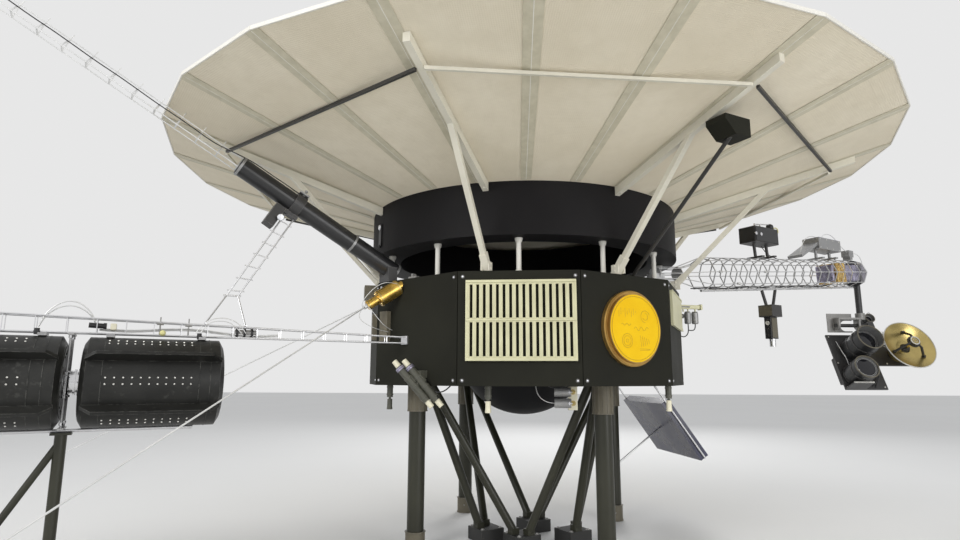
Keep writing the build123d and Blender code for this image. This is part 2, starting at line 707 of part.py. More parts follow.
# Legs: open pipes from the floor to the body, with a collar at each end
with BuildPart() as legs:
    with BuildSketch():
        with PolarLocations(LEG_CIRCLE, 4, start_angle=LEG_AZIMUTH):
            Circle(LEG_RADIUS)
            Circle(LEG_BORE, mode=Mode.SUBTRACT)
    extrude(amount=BODY_BOTTOM_Z)
save(legs, "legs")

with BuildPart() as collars:
    for collar_z, collar_height in (
        (0.0, FOOT_COLLAR_HEIGHT),
        (BODY_BOTTOM_Z - TOP_COLLAR_HEIGHT, TOP_COLLAR_HEIGHT),
    ):
        with BuildSketch(Plane.XY.offset(collar_z)):
            with PolarLocations(LEG_CIRCLE, 4, start_angle=LEG_AZIMUTH):
                Circle(COLLAR_RADIUS)
                Circle(LEG_RADIUS + SEAT, mode=Mode.SUBTRACT)
        extrude(amount=collar_height)
save(collars, "leg_collars")

# Blocks on the floor inside the legs
floor_blocks_at = {  # name: centre x, centre y
    "left": (-190.0, -140.0),
    "front": (-8.0, -262.0),
    "right": (240.0, -140.0),
    "rear": (45.0, 75.0),
}
with BuildPart() as floor_blocks:
    for block_x, block_y in floor_blocks_at.values():
        block(Vector(block_x, block_y, BLOCK_HEIGHT / 2), LEG_AZIMUTH, (BLOCK_SIDE, BLOCK_SIDE, BLOCK_HEIGHT))
save(floor_blocks, "floor_blocks")

# Struts from each leg's top to two blocks, cut flat under the body and hollowed
# to pass the leg's collar, with a lug at the foot
leg_struts_at = (  # leg's azimuth, its two blocks
    (LEG_AZIMUTH - 90.0, "left", "front"),
    (LEG_AZIMUTH, "front", "right"),
    (LEG_AZIMUTH + 90.0, "right", "rear"),
    (LEG_AZIMUTH + 180.0, "rear", "left"),
)
lug_size = (LEG_STRUT_LUG, LEG_STRUT_LUG, LEG_STRUT_LUG_HEIGHT)
lug_middle = Vector(0, 0, LEG_STRUT_LUG_HEIGHT / 2)
with BuildPart() as leg_struts:
    for leg_azimuth, *block_names in leg_struts_at:
        leg_top = polar(LEG_CIRCLE, leg_azimuth, BODY_BOTTOM_Z)
        ways = []
        for block_name in block_names:
            ways.append((Vector(*floor_blocks_at[block_name], BODY_BOTTOM_Z) - leg_top).normalized())
        middle_way = (ways[0] + ways[1]).normalized()
        hand = 1.0 if middle_way.cross(ways[0]).Z > 0 else -1.0
        for block_name, way, turn in zip(block_names, ways, (hand, -hand)):
            foot = Vector(*floor_blocks_at[block_name], BLOCK_HEIGHT) - way * LEG_STRUT_FOOT_SHIFT
            start_way = middle_way.rotate(Axis.Z, turn * LEG_STRUT_SPREAD)
            top = leg_top + start_way * LEG_STRUT_TOP_REACH
            beyond = (top - foot).normalized() * LEG_STRUT_RADIUS
            bar(foot + lug_middle, top + beyond, LEG_STRUT_RADIUS)
            block(foot + lug_middle, LEG_AZIMUTH, lug_size)
    split(bisect_by=Plane.XY.offset(BODY_BOTTOM_Z), keep=Keep.BOTTOM)
    with BuildSketch(Plane.XY.offset(BODY_BOTTOM_Z - TOP_COLLAR_HEIGHT - SEAT)):
        with PolarLocations(LEG_CIRCLE, 4, start_angle=LEG_AZIMUTH):
            Circle(COLLAR_RADIUS + SEAT)
    extrude(amount=TOP_COLLAR_HEIGHT + LEG_STRUT_RADIUS, mode=Mode.SUBTRACT)
save(leg_struts, "leg_struts")

# Generator boom: four chords and square frames that widen to full size
boom_way = heading(GEN_BOOM_AZIMUTH)
boom_side = heading(GEN_BOOM_AZIMUTH + 90.0)
boom_root = side_plane(BOOM_SIDE, GEN_BOOM_SHIFT, GEN_BOOM_BOTTOM_Z).origin


def boom_size(station):
    """Width and height of the generator boom at a distance from its root."""
    share = min(max(station, 0.0) / GEN_BOOM_TAPER_LENGTH, 1.0)
    return GEN_BOOM_ROOT_SIZE + (GEN_BOOM_SIZE - GEN_BOOM_ROOT_SIZE) * share


def boom_point(station, across=0.0, height=0.0):
    """A point by its distance along, across and above the boom's bottom."""
    return boom_root + boom_way * station + boom_side * across + Vector(0, 0, height)


boom_chord_ends = ((-GEN_BOOM_PLATE, GEN_BOOM_TAPER_LENGTH), (GEN_BOOM_TAPER_LENGTH, GEN_BOOM_LENGTH))
with BuildPart() as gen_boom:
    for hand in (-0.5, 0.5):
        for level in (0.0, 1.0):
            for start, end in boom_chord_ends:
                bar(
                    boom_point(start, hand * boom_size(start), level * boom_size(start)),
                    boom_point(end, hand * boom_size(end), level * boom_size(end)),
                    GEN_BOOM_CHORD,
                )
    split(bisect_by=side_plane(BOOM_SIDE, GEN_BOOM_SHIFT, GEN_BOOM_BOTTOM_Z), keep=Keep.TOP)
    for k in range(1, int(GEN_BOOM_LENGTH / GEN_BOOM_BAY) + 1):
        station = k * GEN_BOOM_BAY
        outer = boom_size(station) + GEN_BOOM_CHORD
        middle = boom_point(station, 0.0, boom_size(station) / 2)
        with BuildSketch(Plane(origin=middle, x_dir=boom_side, z_dir=boom_way)):
            Rectangle(outer, outer)
            Rectangle(outer - 2 * GEN_BOOM_CHORD, outer - 2 * GEN_BOOM_CHORD, mode=Mode.SUBTRACT)
        extrude(amount=GEN_BOOM_CHORD)
    root_middle = Vector(0, 0, GEN_BOOM_ROOT_SIZE / 2)
    root_side = GEN_BOOM_ROOT_SIZE + 2 * GEN_BOOM_PLATE_EDGE
    with BuildSketch(side_plane(BOOM_SIDE, GEN_BOOM_SHIFT, GEN_BOOM_BOTTOM_Z + root_middle.Z)):
        Rectangle(root_side, root_side)
    extrude(amount=GEN_BOOM_PLATE)
save(gen_boom, "generator_boom")

# Generators: finned cylinders with stepped ends, one behind the other
gen_drop = GEN_AXIS_Z - GEN_BOOM_BOTTOM_Z
gen_starts = [GEN_FIRST + k * GEN_PITCH for k in range(GEN_COUNT)]
for number, gen_start in enumerate(gen_starts, 1):
    with BuildPart() as generator:
        gen_plane = Plane(origin=boom_point(gen_start, 0.0, gen_drop), x_dir=boom_side, z_dir=boom_way)
        with BuildSketch(gen_plane.offset(GEN_END_DEPTH)):
            Circle(GEN_RADIUS)
        extrude(amount=GEN_LENGTH - 2 * GEN_END_DEPTH)
        for end_offset, end_radii in ((0.0, (GEN_END_RADIUS, GEN_RADIUS)),
                                      (GEN_LENGTH - GEN_END_DEPTH, (GEN_RADIUS, GEN_END_RADIUS))):
            for step_offset, end_radius in ((0.0, end_radii[0]), (GEN_END_DEPTH, end_radii[1])):
                with BuildSketch(gen_plane.offset(end_offset + step_offset)):
                    Circle(end_radius)
            loft()
        for fin_angle in FIN_ANGLES:
            fin_out = boom_side * cos(radians(fin_angle)) + Vector(0, 0, 1) * sin(radians(fin_angle))
            fin_across = boom_way.cross(fin_out)
            fin_middle = boom_point(gen_start + GEN_LENGTH / 2, 0.0, gen_drop)
            fin_base = fin_middle - fin_across * (FIN_THICKNESS / 2)
            fin_inner = GEN_RADIUS - FIN_SUNK
            fin_low = GEN_RADIUS + FIN_END_HEIGHT
            fin_top = GEN_RADIUS + FIN_HEIGHT
            with BuildSketch(Plane(origin=fin_base, x_dir=boom_way, z_dir=fin_across)):
                with BuildLine():
                    Polyline(
                        (-FIN_LENGTH / 2, fin_inner),
                        (-FIN_LENGTH / 2, fin_low),
                        (-FIN_LENGTH / 2 + FIN_POINT, fin_top),
                        (FIN_LENGTH / 2 - FIN_POINT, fin_top),
                        (FIN_LENGTH / 2, fin_low),
                        (FIN_LENGTH / 2, fin_inner),
                        close=True,
                    )
                make_face()
            extrude(amount=FIN_THICKNESS)
    save(generator, f"generator_{number}")

# Couplings between the generators
with BuildPart() as couplings:
    for gen_start in gen_starts[:-1]:
        gap_start = boom_point(gen_start + GEN_LENGTH, 0.0, gen_drop)
        bar(gap_start, gap_start + boom_way * (GEN_PITCH - GEN_LENGTH), COUPLING_RADIUS)
save(couplings, "generator_couplings")

# Hangers from the boom's lower chords to each generator, and stays beside the
# couplings down to the rail
rail_z = gen_drop - GEN_RADIUS - SEAT - RAIL_RADIUS
stay_low = rail_z + RAIL_RADIUS
stay_high = -GEN_BOOM_CHORD
stay_station = (GEN_LENGTH + GEN_PITCH) / 2 + STAY_SHIFT
stay_stations = [gen_start + stay_station for gen_start in gen_starts[:-1]]
with BuildPart() as hangers:
    hanger_low = gen_drop + GEN_RADIUS + SEAT
    hanger_high = -GEN_BOOM_CHORD
    hanger_height = hanger_high - hanger_low
    for gen_start in gen_starts:
        for station in (gen_start + HANGER_INSET, gen_start + GEN_LENGTH - HANGER_INSET):
            block(boom_point(station, 0.0, (hanger_low + hanger_high) / 2), GEN_BOOM_AZIMUTH,
                  (HANGER_LENGTH, HANGER_WIDTH, hanger_height))
    for station in stay_stations:
        for hand in (-1.0, 1.0):
            bar(
                boom_point(station, hand * STAY_OFFSET, stay_low + STAY_PLATE / 2),
                boom_point(station, hand * STAY_OFFSET, stay_high - STAY_PLATE / 2),
                STAY_RADIUS,
            )
        for level in (stay_low + STAY_PLATE / 2, stay_high - STAY_PLATE / 2):
            block(boom_point(station, 0.0, level), GEN_BOOM_AZIMUTH,
                  (STAY_PLATE_WIDTH, 2 * (STAY_OFFSET + STAY_PLATE_EDGE), STAY_PLATE))
save(hangers, "generator_hangers")

# Rail under the generators
rail_start = gen_starts[0] + RAIL_INSETS[0]
rail_end = gen_starts[-1] + GEN_LENGTH - RAIL_INSETS[1]
with BuildPart() as rail:
    bar(boom_point(rail_start, 0.0, rail_z), boom_point(rail_end, 0.0, rail_z), RAIL_RADIUS)
save(rail, "generator_rail")

# Stand under the rail, between the first two generators
stand_top = boom_point(stay_stations[0], 0.0, rail_z - RAIL_RADIUS)
stand_base = Vector(stand_top.X, stand_top.Y, 0)
with BuildPart() as stand:
    bar(stand_base, stand_top - Vector(0, 0, STAND_PLATE / 2), STAND_RADIUS)
    block(stand_top - Vector(0, 0, STAND_PLATE / 2), GEN_BOOM_AZIMUTH, STAND_HEAD)
    block(stand_base + Vector(0, 0, STAND_PLATE / 2), GEN_BOOM_AZIMUTH, (STAND_FOOT, STAND_FOOT, STAND_PLATE))
    brace_foot = stand_base + boom_way * STAND_BRACE_REACH
    bar(brace_foot, stand_top - Vector(0, 0, STAND_BRACE_DROP), STAND_BRACE_RADIUS)
    block(brace_foot + Vector(0, 0, STAND_PLATE / 2), GEN_BOOM_AZIMUTH,
          (STAND_BRACE_FOOT, STAND_BRACE_FOOT, STAND_PLATE))
    split(bisect_by=Plane.XY, keep=Keep.TOP)
save(stand, "generator_stand")

# Canister, lying in a saddle on the body's top
mast_way = heading(MAST_AZIMUTH, MAST_RISE)
mast_up = heading(MAST_AZIMUTH, MAST_RISE + 90.0)
mast_side = heading(MAST_AZIMUTH + 90.0)


def mast_point(station, up=0.0, across=0.0):
    """A point by its distance along the mast's axis, above it and across it."""
    return MAST_ORIGIN + mast_way * station + mast_up * up + mast_side * across


with BuildPart() as canister:
    bar(mast_point(CANISTER_START), mast_point(CANISTER_END), CANISTER_RADIUS)
    chamfer(canister.edges().filter_by(GeomType.CIRCLE), CANISTER_CHAMFER)
save(canister, "mast_canister")

saddle_at = mast_point(CANISTER_START + SADDLE_SETBACK)
with BuildPart() as saddle:
    saddle_height = saddle_at.Z - BODY_TOP_Z
    block(
        Vector(saddle_at.X, saddle_at.Y, BODY_TOP_Z + saddle_height / 2),
        MAST_AZIMUTH,
        (SADDLE_LENGTH, 2 * (CANISTER_RADIUS + SADDLE_EDGE), saddle_height),
    )
    with BuildSketch(Plane(origin=mast_point(0.0), z_dir=mast_way)):
        Circle(CANISTER_RADIUS + SEAT)
    extrude(amount=CANISTER_END, mode=Mode.SUBTRACT)

# Lattice mast: three wires and a triangular frame at each bay
mast_start = CANISTER_END
bay_count = int(MAST_LENGTH / MAST_BAY)
with BuildPart() as mast:
    mast_plane = Plane(origin=mast_point(mast_start), x_dir=mast_up, z_dir=mast_way)
    with BuildSketch(mast_plane):
        with PolarLocations(MAST_RADIUS, 3):
            Circle(MAST_WIRE)
    extrude(amount=bay_count * MAST_BAY)
    for k in range(bay_count + 1):
        with BuildSketch(mast_plane.offset(min(k * MAST_BAY, bay_count * MAST_BAY - MAST_FRAME_WIDTH))):
            RegularPolygon(MAST_RADIUS + MAST_WIRE, 3)
            if 0 < k < bay_count:
                RegularPolygon(MAST_RADIUS + MAST_WIRE - 2 * MAST_FRAME_WIDTH, 3, mode=Mode.SUBTRACT)
        extrude(amount=MAST_FRAME_WIDTH)
save(mast, "mast_lattice")

# Sensors on the mast: one on its flat lower face, one on its tip
mast_under = MAST_RADIUS / 2 + MAST_WIRE + SEAT
with BuildPart() as mast_sensors:
    block(
        mast_point(mast_start + MAST_SENSOR_STATION, -mast_under - MAST_SENSOR_SIDE / 2),
        MAST_AZIMUTH,
        (MAST_SENSOR_LENGTH, MAST_SENSOR_SIDE, MAST_SENSOR_SIDE),
        MAST_RISE,
    )
    tip = mast_start + bay_count * MAST_BAY
    bar(mast_point(tip), mast_point(tip + MAST_SENSOR_LENGTH), TIP_SENSOR_RADIUS)
save(mast_sensors, "mast_sensors")

# Clamp on the canister, with the plate that the ladder hangs from
with BuildPart() as clamp:
    with BuildSketch(Plane(origin=mast_point(CLAMP_STATION - CLAMP_WIDTH / 2), z_dir=mast_way)):
        Circle(CLAMP_RADIUS)
        Circle(CANISTER_RADIUS + SEAT, mode=Mode.SUBTRACT)
    extrude(amount=CLAMP_WIDTH)
    block(mast_point(CLAMP_STATION, -CLAMP_RADIUS - CLAMP_PLATE_DROP), MAST_AZIMUTH,
          (LADDER_WIDTH + 2 * LADDER_REST, CLAMP_PLATE_WIDTH, CLAMP_PLATE_DEPTH), MAST_RISE)
with BuildPart() as canister_clamps:
    add(saddle.part)
    add(clamp.part)
save(canister_clamps, "canister_clamps")

# Ladder: two rails from the clamp to a knee, parting to two places on the boom
ladder_top = mast_point(CLAMP_STATION, -CLAMP_RADIUS - CLAMP_PLATE_DROP - CLAMP_PLATE_DEPTH / 2 - SEAT)
ladder_across = mast_way * (LADDER_WIDTH / 2)
with BuildPart() as ladder:
    upper = [ladder_top - ladder_across, ladder_top + ladder_across]
    knee = [LADDER_KNEE - boom_way * (LADDER_WIDTH / 2), LADDER_KNEE + boom_way * (LADDER_WIDTH / 2)]
    for side, station in enumerate(LADDER_STATIONS):
        lower = boom_point(station, 0.0, boom_size(station) + GEN_BOOM_CHORD + SEAT + LADDER_RAIL)
        bar(upper[side], knee[side], LADDER_RAIL)
        bar(knee[side], lower, LADDER_RAIL)
        bar(lower - boom_side * LADDER_FOOT, lower + boom_side * LADDER_FOOT, LADDER_RAIL)
    bar(knee[0] - boom_way * LADDER_PIN, knee[1] + boom_way * LADDER_PIN, LADDER_RAIL)
    for k in range(LADDER_RUNGS):
        share = (k + LADDER_FIRST_RUNG) / LADDER_RUNGS
        rung = [upper[n] + (knee[n] - upper[n]) * share for n in (0, 1)]
        pin = (rung[1] - rung[0]).normalized() * LADDER_PIN
        bar(rung[0] - pin, rung[1] + pin, LADDER_RUNG)
    split(bisect_by=Plane(origin=ladder_top, x_dir=mast_way, z_dir=mast_up), keep=Keep.BOTTOM)
save(ladder, "ladder_boom")

# Small sensor beside the ladder, against the end of its first rung
ladder_down = (knee[1] - upper[1]).normalized()
sensor_out = (upper[1] - upper[0]).normalized()
sensor_foot = upper[1] + (knee[1] - upper[1]) * (LADDER_FIRST_RUNG / LADDER_RUNGS)
sensor_side = (sensor_out - ladder_down * sensor_out.dot(ladder_down)).normalized()
sensor_middle = sensor_foot + sensor_out * LADDER_PIN + sensor_side * (SEAT + LADDER_SENSOR_SIZE[1] / 2)
with BuildPart() as ladder_sensor:
    sensor_top = sensor_middle - ladder_down * (LADDER_SENSOR_SIZE[0] / 2)
    with BuildSketch(Plane(origin=sensor_top, x_dir=sensor_side, z_dir=ladder_down)):
        Rectangle(LADDER_SENSOR_SIZE[1], LADDER_SENSOR_SIZE[2])
    extrude(amount=LADDER_SENSOR_SIZE[0])
save(ladder_sensor, "ladder_sensor")

# Whip antennas: a can and its neck on the left side, and two thin rods
can_way = heading(WHIP_CAN_AZIMUTH, -WHIP_CAN_DROP)
can_start = WHIP_CAN_MIDDLE - can_way * (WHIP_CAN_LENGTH / 2)
can_end = WHIP_CAN_MIDDLE + can_way * (WHIP_CAN_LENGTH / 2)
neck_end = can_end + can_way * WHIP_NECK_LENGTH
with BuildPart() as whip_cans:
    bar(can_start, can_end, WHIP_CAN_RADIUS)
    bar(can_end, neck_end, WHIP_NECK_RADIUS)
    bar(can_start - can_way * WHIP_CAN_STALK, can_start, WHIP_NECK_RADIUS)
    split(bisect_by=side_plane(BOOM_SIDE, 0.0, WHIP_CAN_MIDDLE.Z), keep=Keep.TOP)
save(whip_cans, "whip_cans")

with BuildPart() as whips:
    for whip_azimuth, whip_drop, ball_shift in WHIPS:
        whip_root = neck_end + can_way * WHIP_BALL + heading(WHIP_CAN_AZIMUTH + 90.0) * ball_shift
        with Locations(whip_root):
            Sphere(WHIP_BALL)
        bar(whip_root, whip_root + heading(whip_azimuth, -whip_drop) * WHIP_LENGTH, WHIP_RADIUS)
    split(bisect_by=Plane(origin=neck_end + can_way * SEAT, z_dir=can_way), keep=Keep.TOP)
save(whips, "whip_antennas")

# Science boom: eight wires and their hoops, a keel tube, a taper and a post
cage_way = heading(CAGE_AZIMUTH, CAGE_RISE)
cage_up = heading(CAGE_AZIMUTH, CAGE_RISE + 90.0)
cage_side = heading(CAGE_AZIMUTH + 90.0)
cage_length = CAGE_BAYS * CAGE_BAY


def cage_point(station, up=0.0, across=0.0):
    """A point by its distance along the science boom, above and across it."""
    return CAGE_ORIGIN + cage_way * station + cage_up * up + cage_side * across


post_at = cage_point(cage_length + POST_OUT)
with BuildPart() as science_boom:
    cage_plane = Plane(origin=CAGE_ORIGIN, x_dir=cage_up, z_dir=cage_way)
    with BuildSketch(cage_plane):
        with PolarLocations(CAGE_RADIUS, CAGE_SIDES):
            Circle(CAGE_WIRE)
    extrude(amount=cage_length)
    for k in range(CAGE_BAYS):
        with BuildSketch(cage_plane.offset(k * CAGE_BAY)):
            RegularPolygon(CAGE_RADIUS + CAGE_WIRE, CAGE_SIDES)
            RegularPolygon(CAGE_RADIUS - CAGE_WIRE, CAGE_SIDES, mode=Mode.SUBTRACT)
        extrude(amount=CAGE_HOOP_WIDTH)
    with BuildSketch(cage_plane.offset(cage_length - CAGE_END_PLATE)):
        RegularPolygon(CAGE_RADIUS + CAGE_WIRE, CAGE_SIDES)
    extrude(amount=CAGE_END_PLATE)
    bar(cage_point(-CAGE_KEEL_START, -CAGE_RADIUS), cage_point(cage_length, -CAGE_RADIUS), CAGE_KEEL_RADIUS)
    for k in range(CAGE_SIDES):
        spoke_turn = radians(360.0 / CAGE_SIDES * k)
        spoke = cage_up * cos(spoke_turn) + cage_side * sin(spoke_turn)
        wide = cage_point(CAGE_HOOP_WIDTH / 2) + spoke * CAGE_RADIUS
        narrow = cage_point(-CAGE_TAPER_LENGTH) + spoke * CAGE_NECK_RADIUS
        bar(wide, narrow, CAGE_WIRE)
        bar(narrow, cage_point(-CAGE_NECK_LENGTH) + spoke * CAGE_NECK_RADIUS, CAGE_WIRE)
    for station in (-CAGE_TAPER_LENGTH, -CAGE_NECK_LENGTH):
        with BuildSketch(cage_plane.offset(station)):
            RegularPolygon(CAGE_NECK_RADIUS + CAGE_WIRE, CAGE_SIDES)
        extrude(amount=CAGE_HOOP_WIDTH)
    neck_middle = cage_point(-CAGE_NECK_LENGTH + CAGE_ROOT_INSET)
    with BuildSketch(Plane.XY.offset(BODY_TOP_Z)):
        with Locations((neck_middle.X, neck_middle.Y)):
            Rectangle(CAGE_ROOT_SIDE, CAGE_ROOT_SIDE, rotation=CAGE_AZIMUTH)
    extrude(amount=neck_middle.Z - BODY_TOP_Z)
    bar(Vector(post_at.X, post_at.Y, POST_BOTTOM_Z), post_at + Vector(0, 0, POST_ABOVE), POST_RADIUS)
    square_bar(cage_point(cage_length - CAGE_END_PLATE), cage_point(cage_length + POST_OUT), CAGE_HEAD_SIDE)
    bar(Vector(post_at.X, post_at.Y, POST_BOTTOM_Z - SPIGOT_LENGTH),
        Vector(post_at.X, post_at.Y, POST_BOTTOM_Z), SPIGOT_RADIUS)
save(science_boom, "science_boom")

# Foil-wrapped box held inside the hoops
with BuildPart() as foil_box:
    foil_side = (CAGE_RADIUS - CAGE_WIRE - SEAT) * 2 ** 0.5
    with BuildSketch(Plane(origin=cage_point(FOIL_BOX_STATION), x_dir=cage_up, z_dir=cage_way)):
        Rectangle(foil_side, foil_side)
    extrude(amount=FOIL_BOX_LENGTH)
save(foil_box, "foil_box")


def cage_top(station):
    """The point on the highest wire of the science boom."""
    return cage_point(station, CAGE_RADIUS + CAGE_WIRE)


cage_top_plane = Plane(origin=cage_top(0.0) + cage_up * SEAT, x_dir=cage_way, z_dir=cage_up)

# Dark detector box on short legs above the science boom
with BuildPart() as detector:
    detector_middle = Vector(cage_top(DETECTOR_STATION).X, cage_top(DETECTOR_STATION).Y, DETECTOR_Z)
    block(detector_middle, CAGE_AZIMUTH, DETECTOR_SIZE)
    for station_shift, leg_shift in DETECTOR_LEGS:
        foot = cage_top(DETECTOR_STATION + station_shift)
        head = detector_middle + cage_way * leg_shift
        bar(foot, Vector(head.X, head.Y, DETECTOR_Z), DETECTOR_LEG_RADIUS)
        block(foot + Vector(0, 0, INSTRUMENT_FOOT_LIFT), CAGE_AZIMUTH, INSTRUMENT_FOOT, CAGE_RISE)
    split(bisect_by=cage_top_plane, keep=Keep.TOP)
save(detector, "upper_detector")

# Long telescope box with a tilted visor, and a smaller box behind it
with BuildPart() as telescope:
    telescope_middle = Vector(cage_top(TELESCOPE_STATION).X, cage_top(TELESCOPE_STATION).Y, TELESCOPE_Z)
    block(telescope_middle, CAGE_AZIMUTH, TELESCOPE_SIZE)
    for leg_shift in (-TELESCOPE_LEG_SHIFT, TELESCOPE_LEG_SHIFT):
        foot = cage_top(TELESCOPE_STATION + leg_shift)
        bar(foot, Vector(foot.X, foot.Y, TELESCOPE_Z), DETECTOR_LEG_RADIUS)
        block(foot + Vector(0, 0, INSTRUMENT_FOOT_LIFT), CAGE_AZIMUTH, INSTRUMENT_FOOT, CAGE_RISE)
    telescope_end = telescope_middle - heading(CAGE_AZIMUTH) * (TELESCOPE_SIZE[0] / 2)
    visor_joint = telescope_end - Vector(0, 0, VISOR_DROP)
    visor_middle = visor_joint - heading(CAGE_AZIMUTH, VISOR_RISE) * (TELESCOPE_VISOR[0] / 2 - VISOR_LAP)
    block(visor_middle, CAGE_AZIMUTH, TELESCOPE_VISOR, VISOR_RISE)
    split(bisect_by=cage_top_plane, keep=Keep.TOP)
save(telescope, "upper_telescope")

with BuildPart() as small_box:
    small_box_foot = cage_top(SMALL_BOX_STATION)
    block(small_box_foot + Vector(0, 0, SMALL_BOX_SIZE[2] / 2 + SMALL_BOX_LIFT), CAGE_AZIMUTH, SMALL_BOX_SIZE)
    block(
        small_box_foot + Vector(0, 0, SMALL_BOX_LIFT / 2),
        CAGE_AZIMUTH,
        (*SMALL_BOX_FOOT, SMALL_BOX_LIFT + INSTRUMENT_FOOT_LIFT),
    )
    split(bisect_by=cage_top_plane, keep=Keep.TOP)
save(small_box, "upper_small_box")

# Detector hanging on two legs under the science boom
keel_under = CAGE_RADIUS + CAGE_KEEL_RADIUS + SEAT
with BuildPart() as hanging:
    hanging_foot = cage_point(HANGING_STATION, -keel_under)
    hanging_middle = Vector(hanging_foot.X, hanging_foot.Y, HANGING_BOX_Z)
    block(hanging_middle, CAGE_AZIMUTH, HANGING_BOX_SIZE)
    for top_shift, low_shift in HANGING_LEGS:
        bar(
            Vector(0, 0, HANGING_BOX_Z) + heading(CAGE_AZIMUTH) * low_shift
            + Vector(hanging_foot.X, hanging_foot.Y, 0),
            cage_point(HANGING_STATION + top_shift, -keel_under + HANGING_LAP),
            DETECTOR_LEG_RADIUS,
        )
    split(bisect_by=Plane(origin=hanging_foot, x_dir=cage_way, z_dir=cage_up), keep=Keep.BOTTOM)
    plate_middle = hanging_middle - Vector(0, 0, (HANGING_BOX_SIZE[2] + HANGING_PLATE_SIZE[2]) / 2)
    block(plate_middle, CAGE_AZIMUTH, HANGING_PLATE_SIZE)
    nozzle_top = plate_middle - Vector(0, 0, HANGING_PLATE_SIZE[2] / 2)
    bar(nozzle_top, nozzle_top - Vector(0, 0, HANGING_NOZZLE_LENGTH), HANGING_NOZZLE_RADIUS)
save(hanging, "hanging_detector")

# Yoke: a head that turns on the post's spigot, two ears for the axle and a web
axle_at = Vector(post_at.X, post_at.Y, AXLE_Z)
axle_way = heading(PLATFORM_AZIMUTH + 90.0)
head_top_z = POST_BOTTOM_Z - YOKE_HEAD_GAP
head_low_z = head_top_z - YOKE_HEAD_HEIGHT
with BuildPart() as yoke:
    with BuildSketch(Plane.XY.offset(head_low_z)):
        with Locations((post_at.X, post_at.Y)):
            Circle(YOKE_HEAD_RADIUS)
    extrude(amount=YOKE_HEAD_HEIGHT)
    bridge_middle = axle_at + axle_way * ((YOKE_NEAR + YOKE_FAR) / 2)
    block(
        Vector(bridge_middle.X, bridge_middle.Y, head_low_z + YOKE_PLATE / 2),
        PLATFORM_AZIMUTH + 90.0,
        (YOKE_NEAR - YOKE_FAR + YOKE_PLATE, YOKE_WIDTH, YOKE_PLATE),
    )
    ear_top = head_low_z + YOKE_PLATE - AXLE_Z
    for ear in (YOKE_NEAR, YOKE_FAR):
        ear_start = axle_at + axle_way * (ear - YOKE_PLATE / 2)
        with BuildSketch(Plane(origin=ear_start, x_dir=heading(PLATFORM_AZIMUTH + 180.0), z_dir=axle_way)):
            Circle(YOKE_EYE)
            with Locations((0, ear_top / 2)):
                Rectangle(2 * YOKE_EYE, ear_top)
        extrude(amount=YOKE_PLATE)
    web_origin = axle_at - heading(PLATFORM_AZIMUTH) * YOKE_WEB_BACK
    web_low, web_high = YOKE_WEB_SPAN
    web_top = head_top_z - AXLE_Z
    with BuildSketch(Plane(origin=web_origin, x_dir=axle_way, z_dir=heading(PLATFORM_AZIMUTH))):
        with Locations(((web_low + web_high) / 2, (YOKE_WEB_BOTTOM + web_top) / 2)):
            Rectangle(web_high - web_low, web_top - YOKE_WEB_BOTTOM)
        with Locations((YOKE_WEB_CUT_AT, 0)):
            Circle(YOKE_WEB_CUT, mode=Mode.SUBTRACT)
        with Locations(((YOKE_WEB_CUT_AT + web_high) / 2, 0)):
            Rectangle(web_high - YOKE_WEB_CUT_AT, 2 * YOKE_WEB_CUT, mode=Mode.SUBTRACT)
    extrude(amount=YOKE_WEB)
    with BuildSketch(Plane(origin=axle_at + axle_way * (YOKE_FAR - YOKE_PLATE), z_dir=axle_way)):
        Circle(AXLE_RADIUS + RUNNING_FIT)
    extrude(amount=YOKE_NEAR - YOKE_FAR + 2 * YOKE_PLATE, mode=Mode.SUBTRACT)
    with BuildSketch(Plane.XY.offset(head_top_z)):
        with Locations((post_at.X, post_at.Y)):
            Circle(SPIGOT_RADIUS + RUNNING_FIT)
    extrude(amount=-SPIGOT_LENGTH, mode=Mode.SUBTRACT)
save(yoke, "platform_yoke")

# Frame: the axle, an arm back from it and the face plate for the instruments
aim = heading(PLATFORM_AZIMUTH, PLATFORM_RISE)
lift_way = heading(PLATFORM_AZIMUTH, PLATFORM_RISE + 90.0)


def frame_plane(along=0.0, up=0.0, ahead=0.0):
    """A plane that faces where the platform aims, its x along the axle."""
    origin = axle_at + axle_way * along + lift_way * up + aim * ahead
    return Plane(origin=origin, x_dir=axle_way, z_dir=aim)


def frame_box(span, levels, back, depth):
    """Fuses a box into the frame, from its back face forwards."""
    with BuildSketch(frame_plane((span[0] + span[1]) / 2, (levels[0] + levels[1]) / 2, back)) as section:
        Rectangle(span[1] - span[0], levels[1] - levels[0])
    extrude(section.sketch, amount=depth)


plate_front = FACE_PLATE - FACE_PLATE_BACK
with BuildPart() as platform_frame:
    axle_end = axle_at + axle_way * (ARM_SPAN[1] + AXLE_END)
    bar(axle_at + axle_way * (YOKE_FAR - YOKE_PLATE - AXLE_TAIL), axle_end, AXLE_RADIUS)
    frame_box(ARM_SPAN, ARM_LEVELS, -FACE_PLATE_BACK, FACE_PLATE_BACK + ARM_AHEAD)
    frame_box(FACE_PLATE_SPAN, FACE_PLATE_LEVELS, -FACE_PLATE_BACK, FACE_PLATE)
    frame_box(DISH_PLATE_SPAN, DISH_PLATE_LEVELS, -FACE_PLATE_BACK, FACE_PLATE)
    shelf_levels = (FACE_PLATE_LEVELS[0], FACE_PLATE_LEVELS[0] + SHELF_THICKNESS)
    frame_box((FACE_PLATE_SPAN[0], SHELF_END), shelf_levels, -FACE_PLATE_BACK, FACE_PLATE + SHELF_DEPTH)
save(platform_frame, "platform_frame")

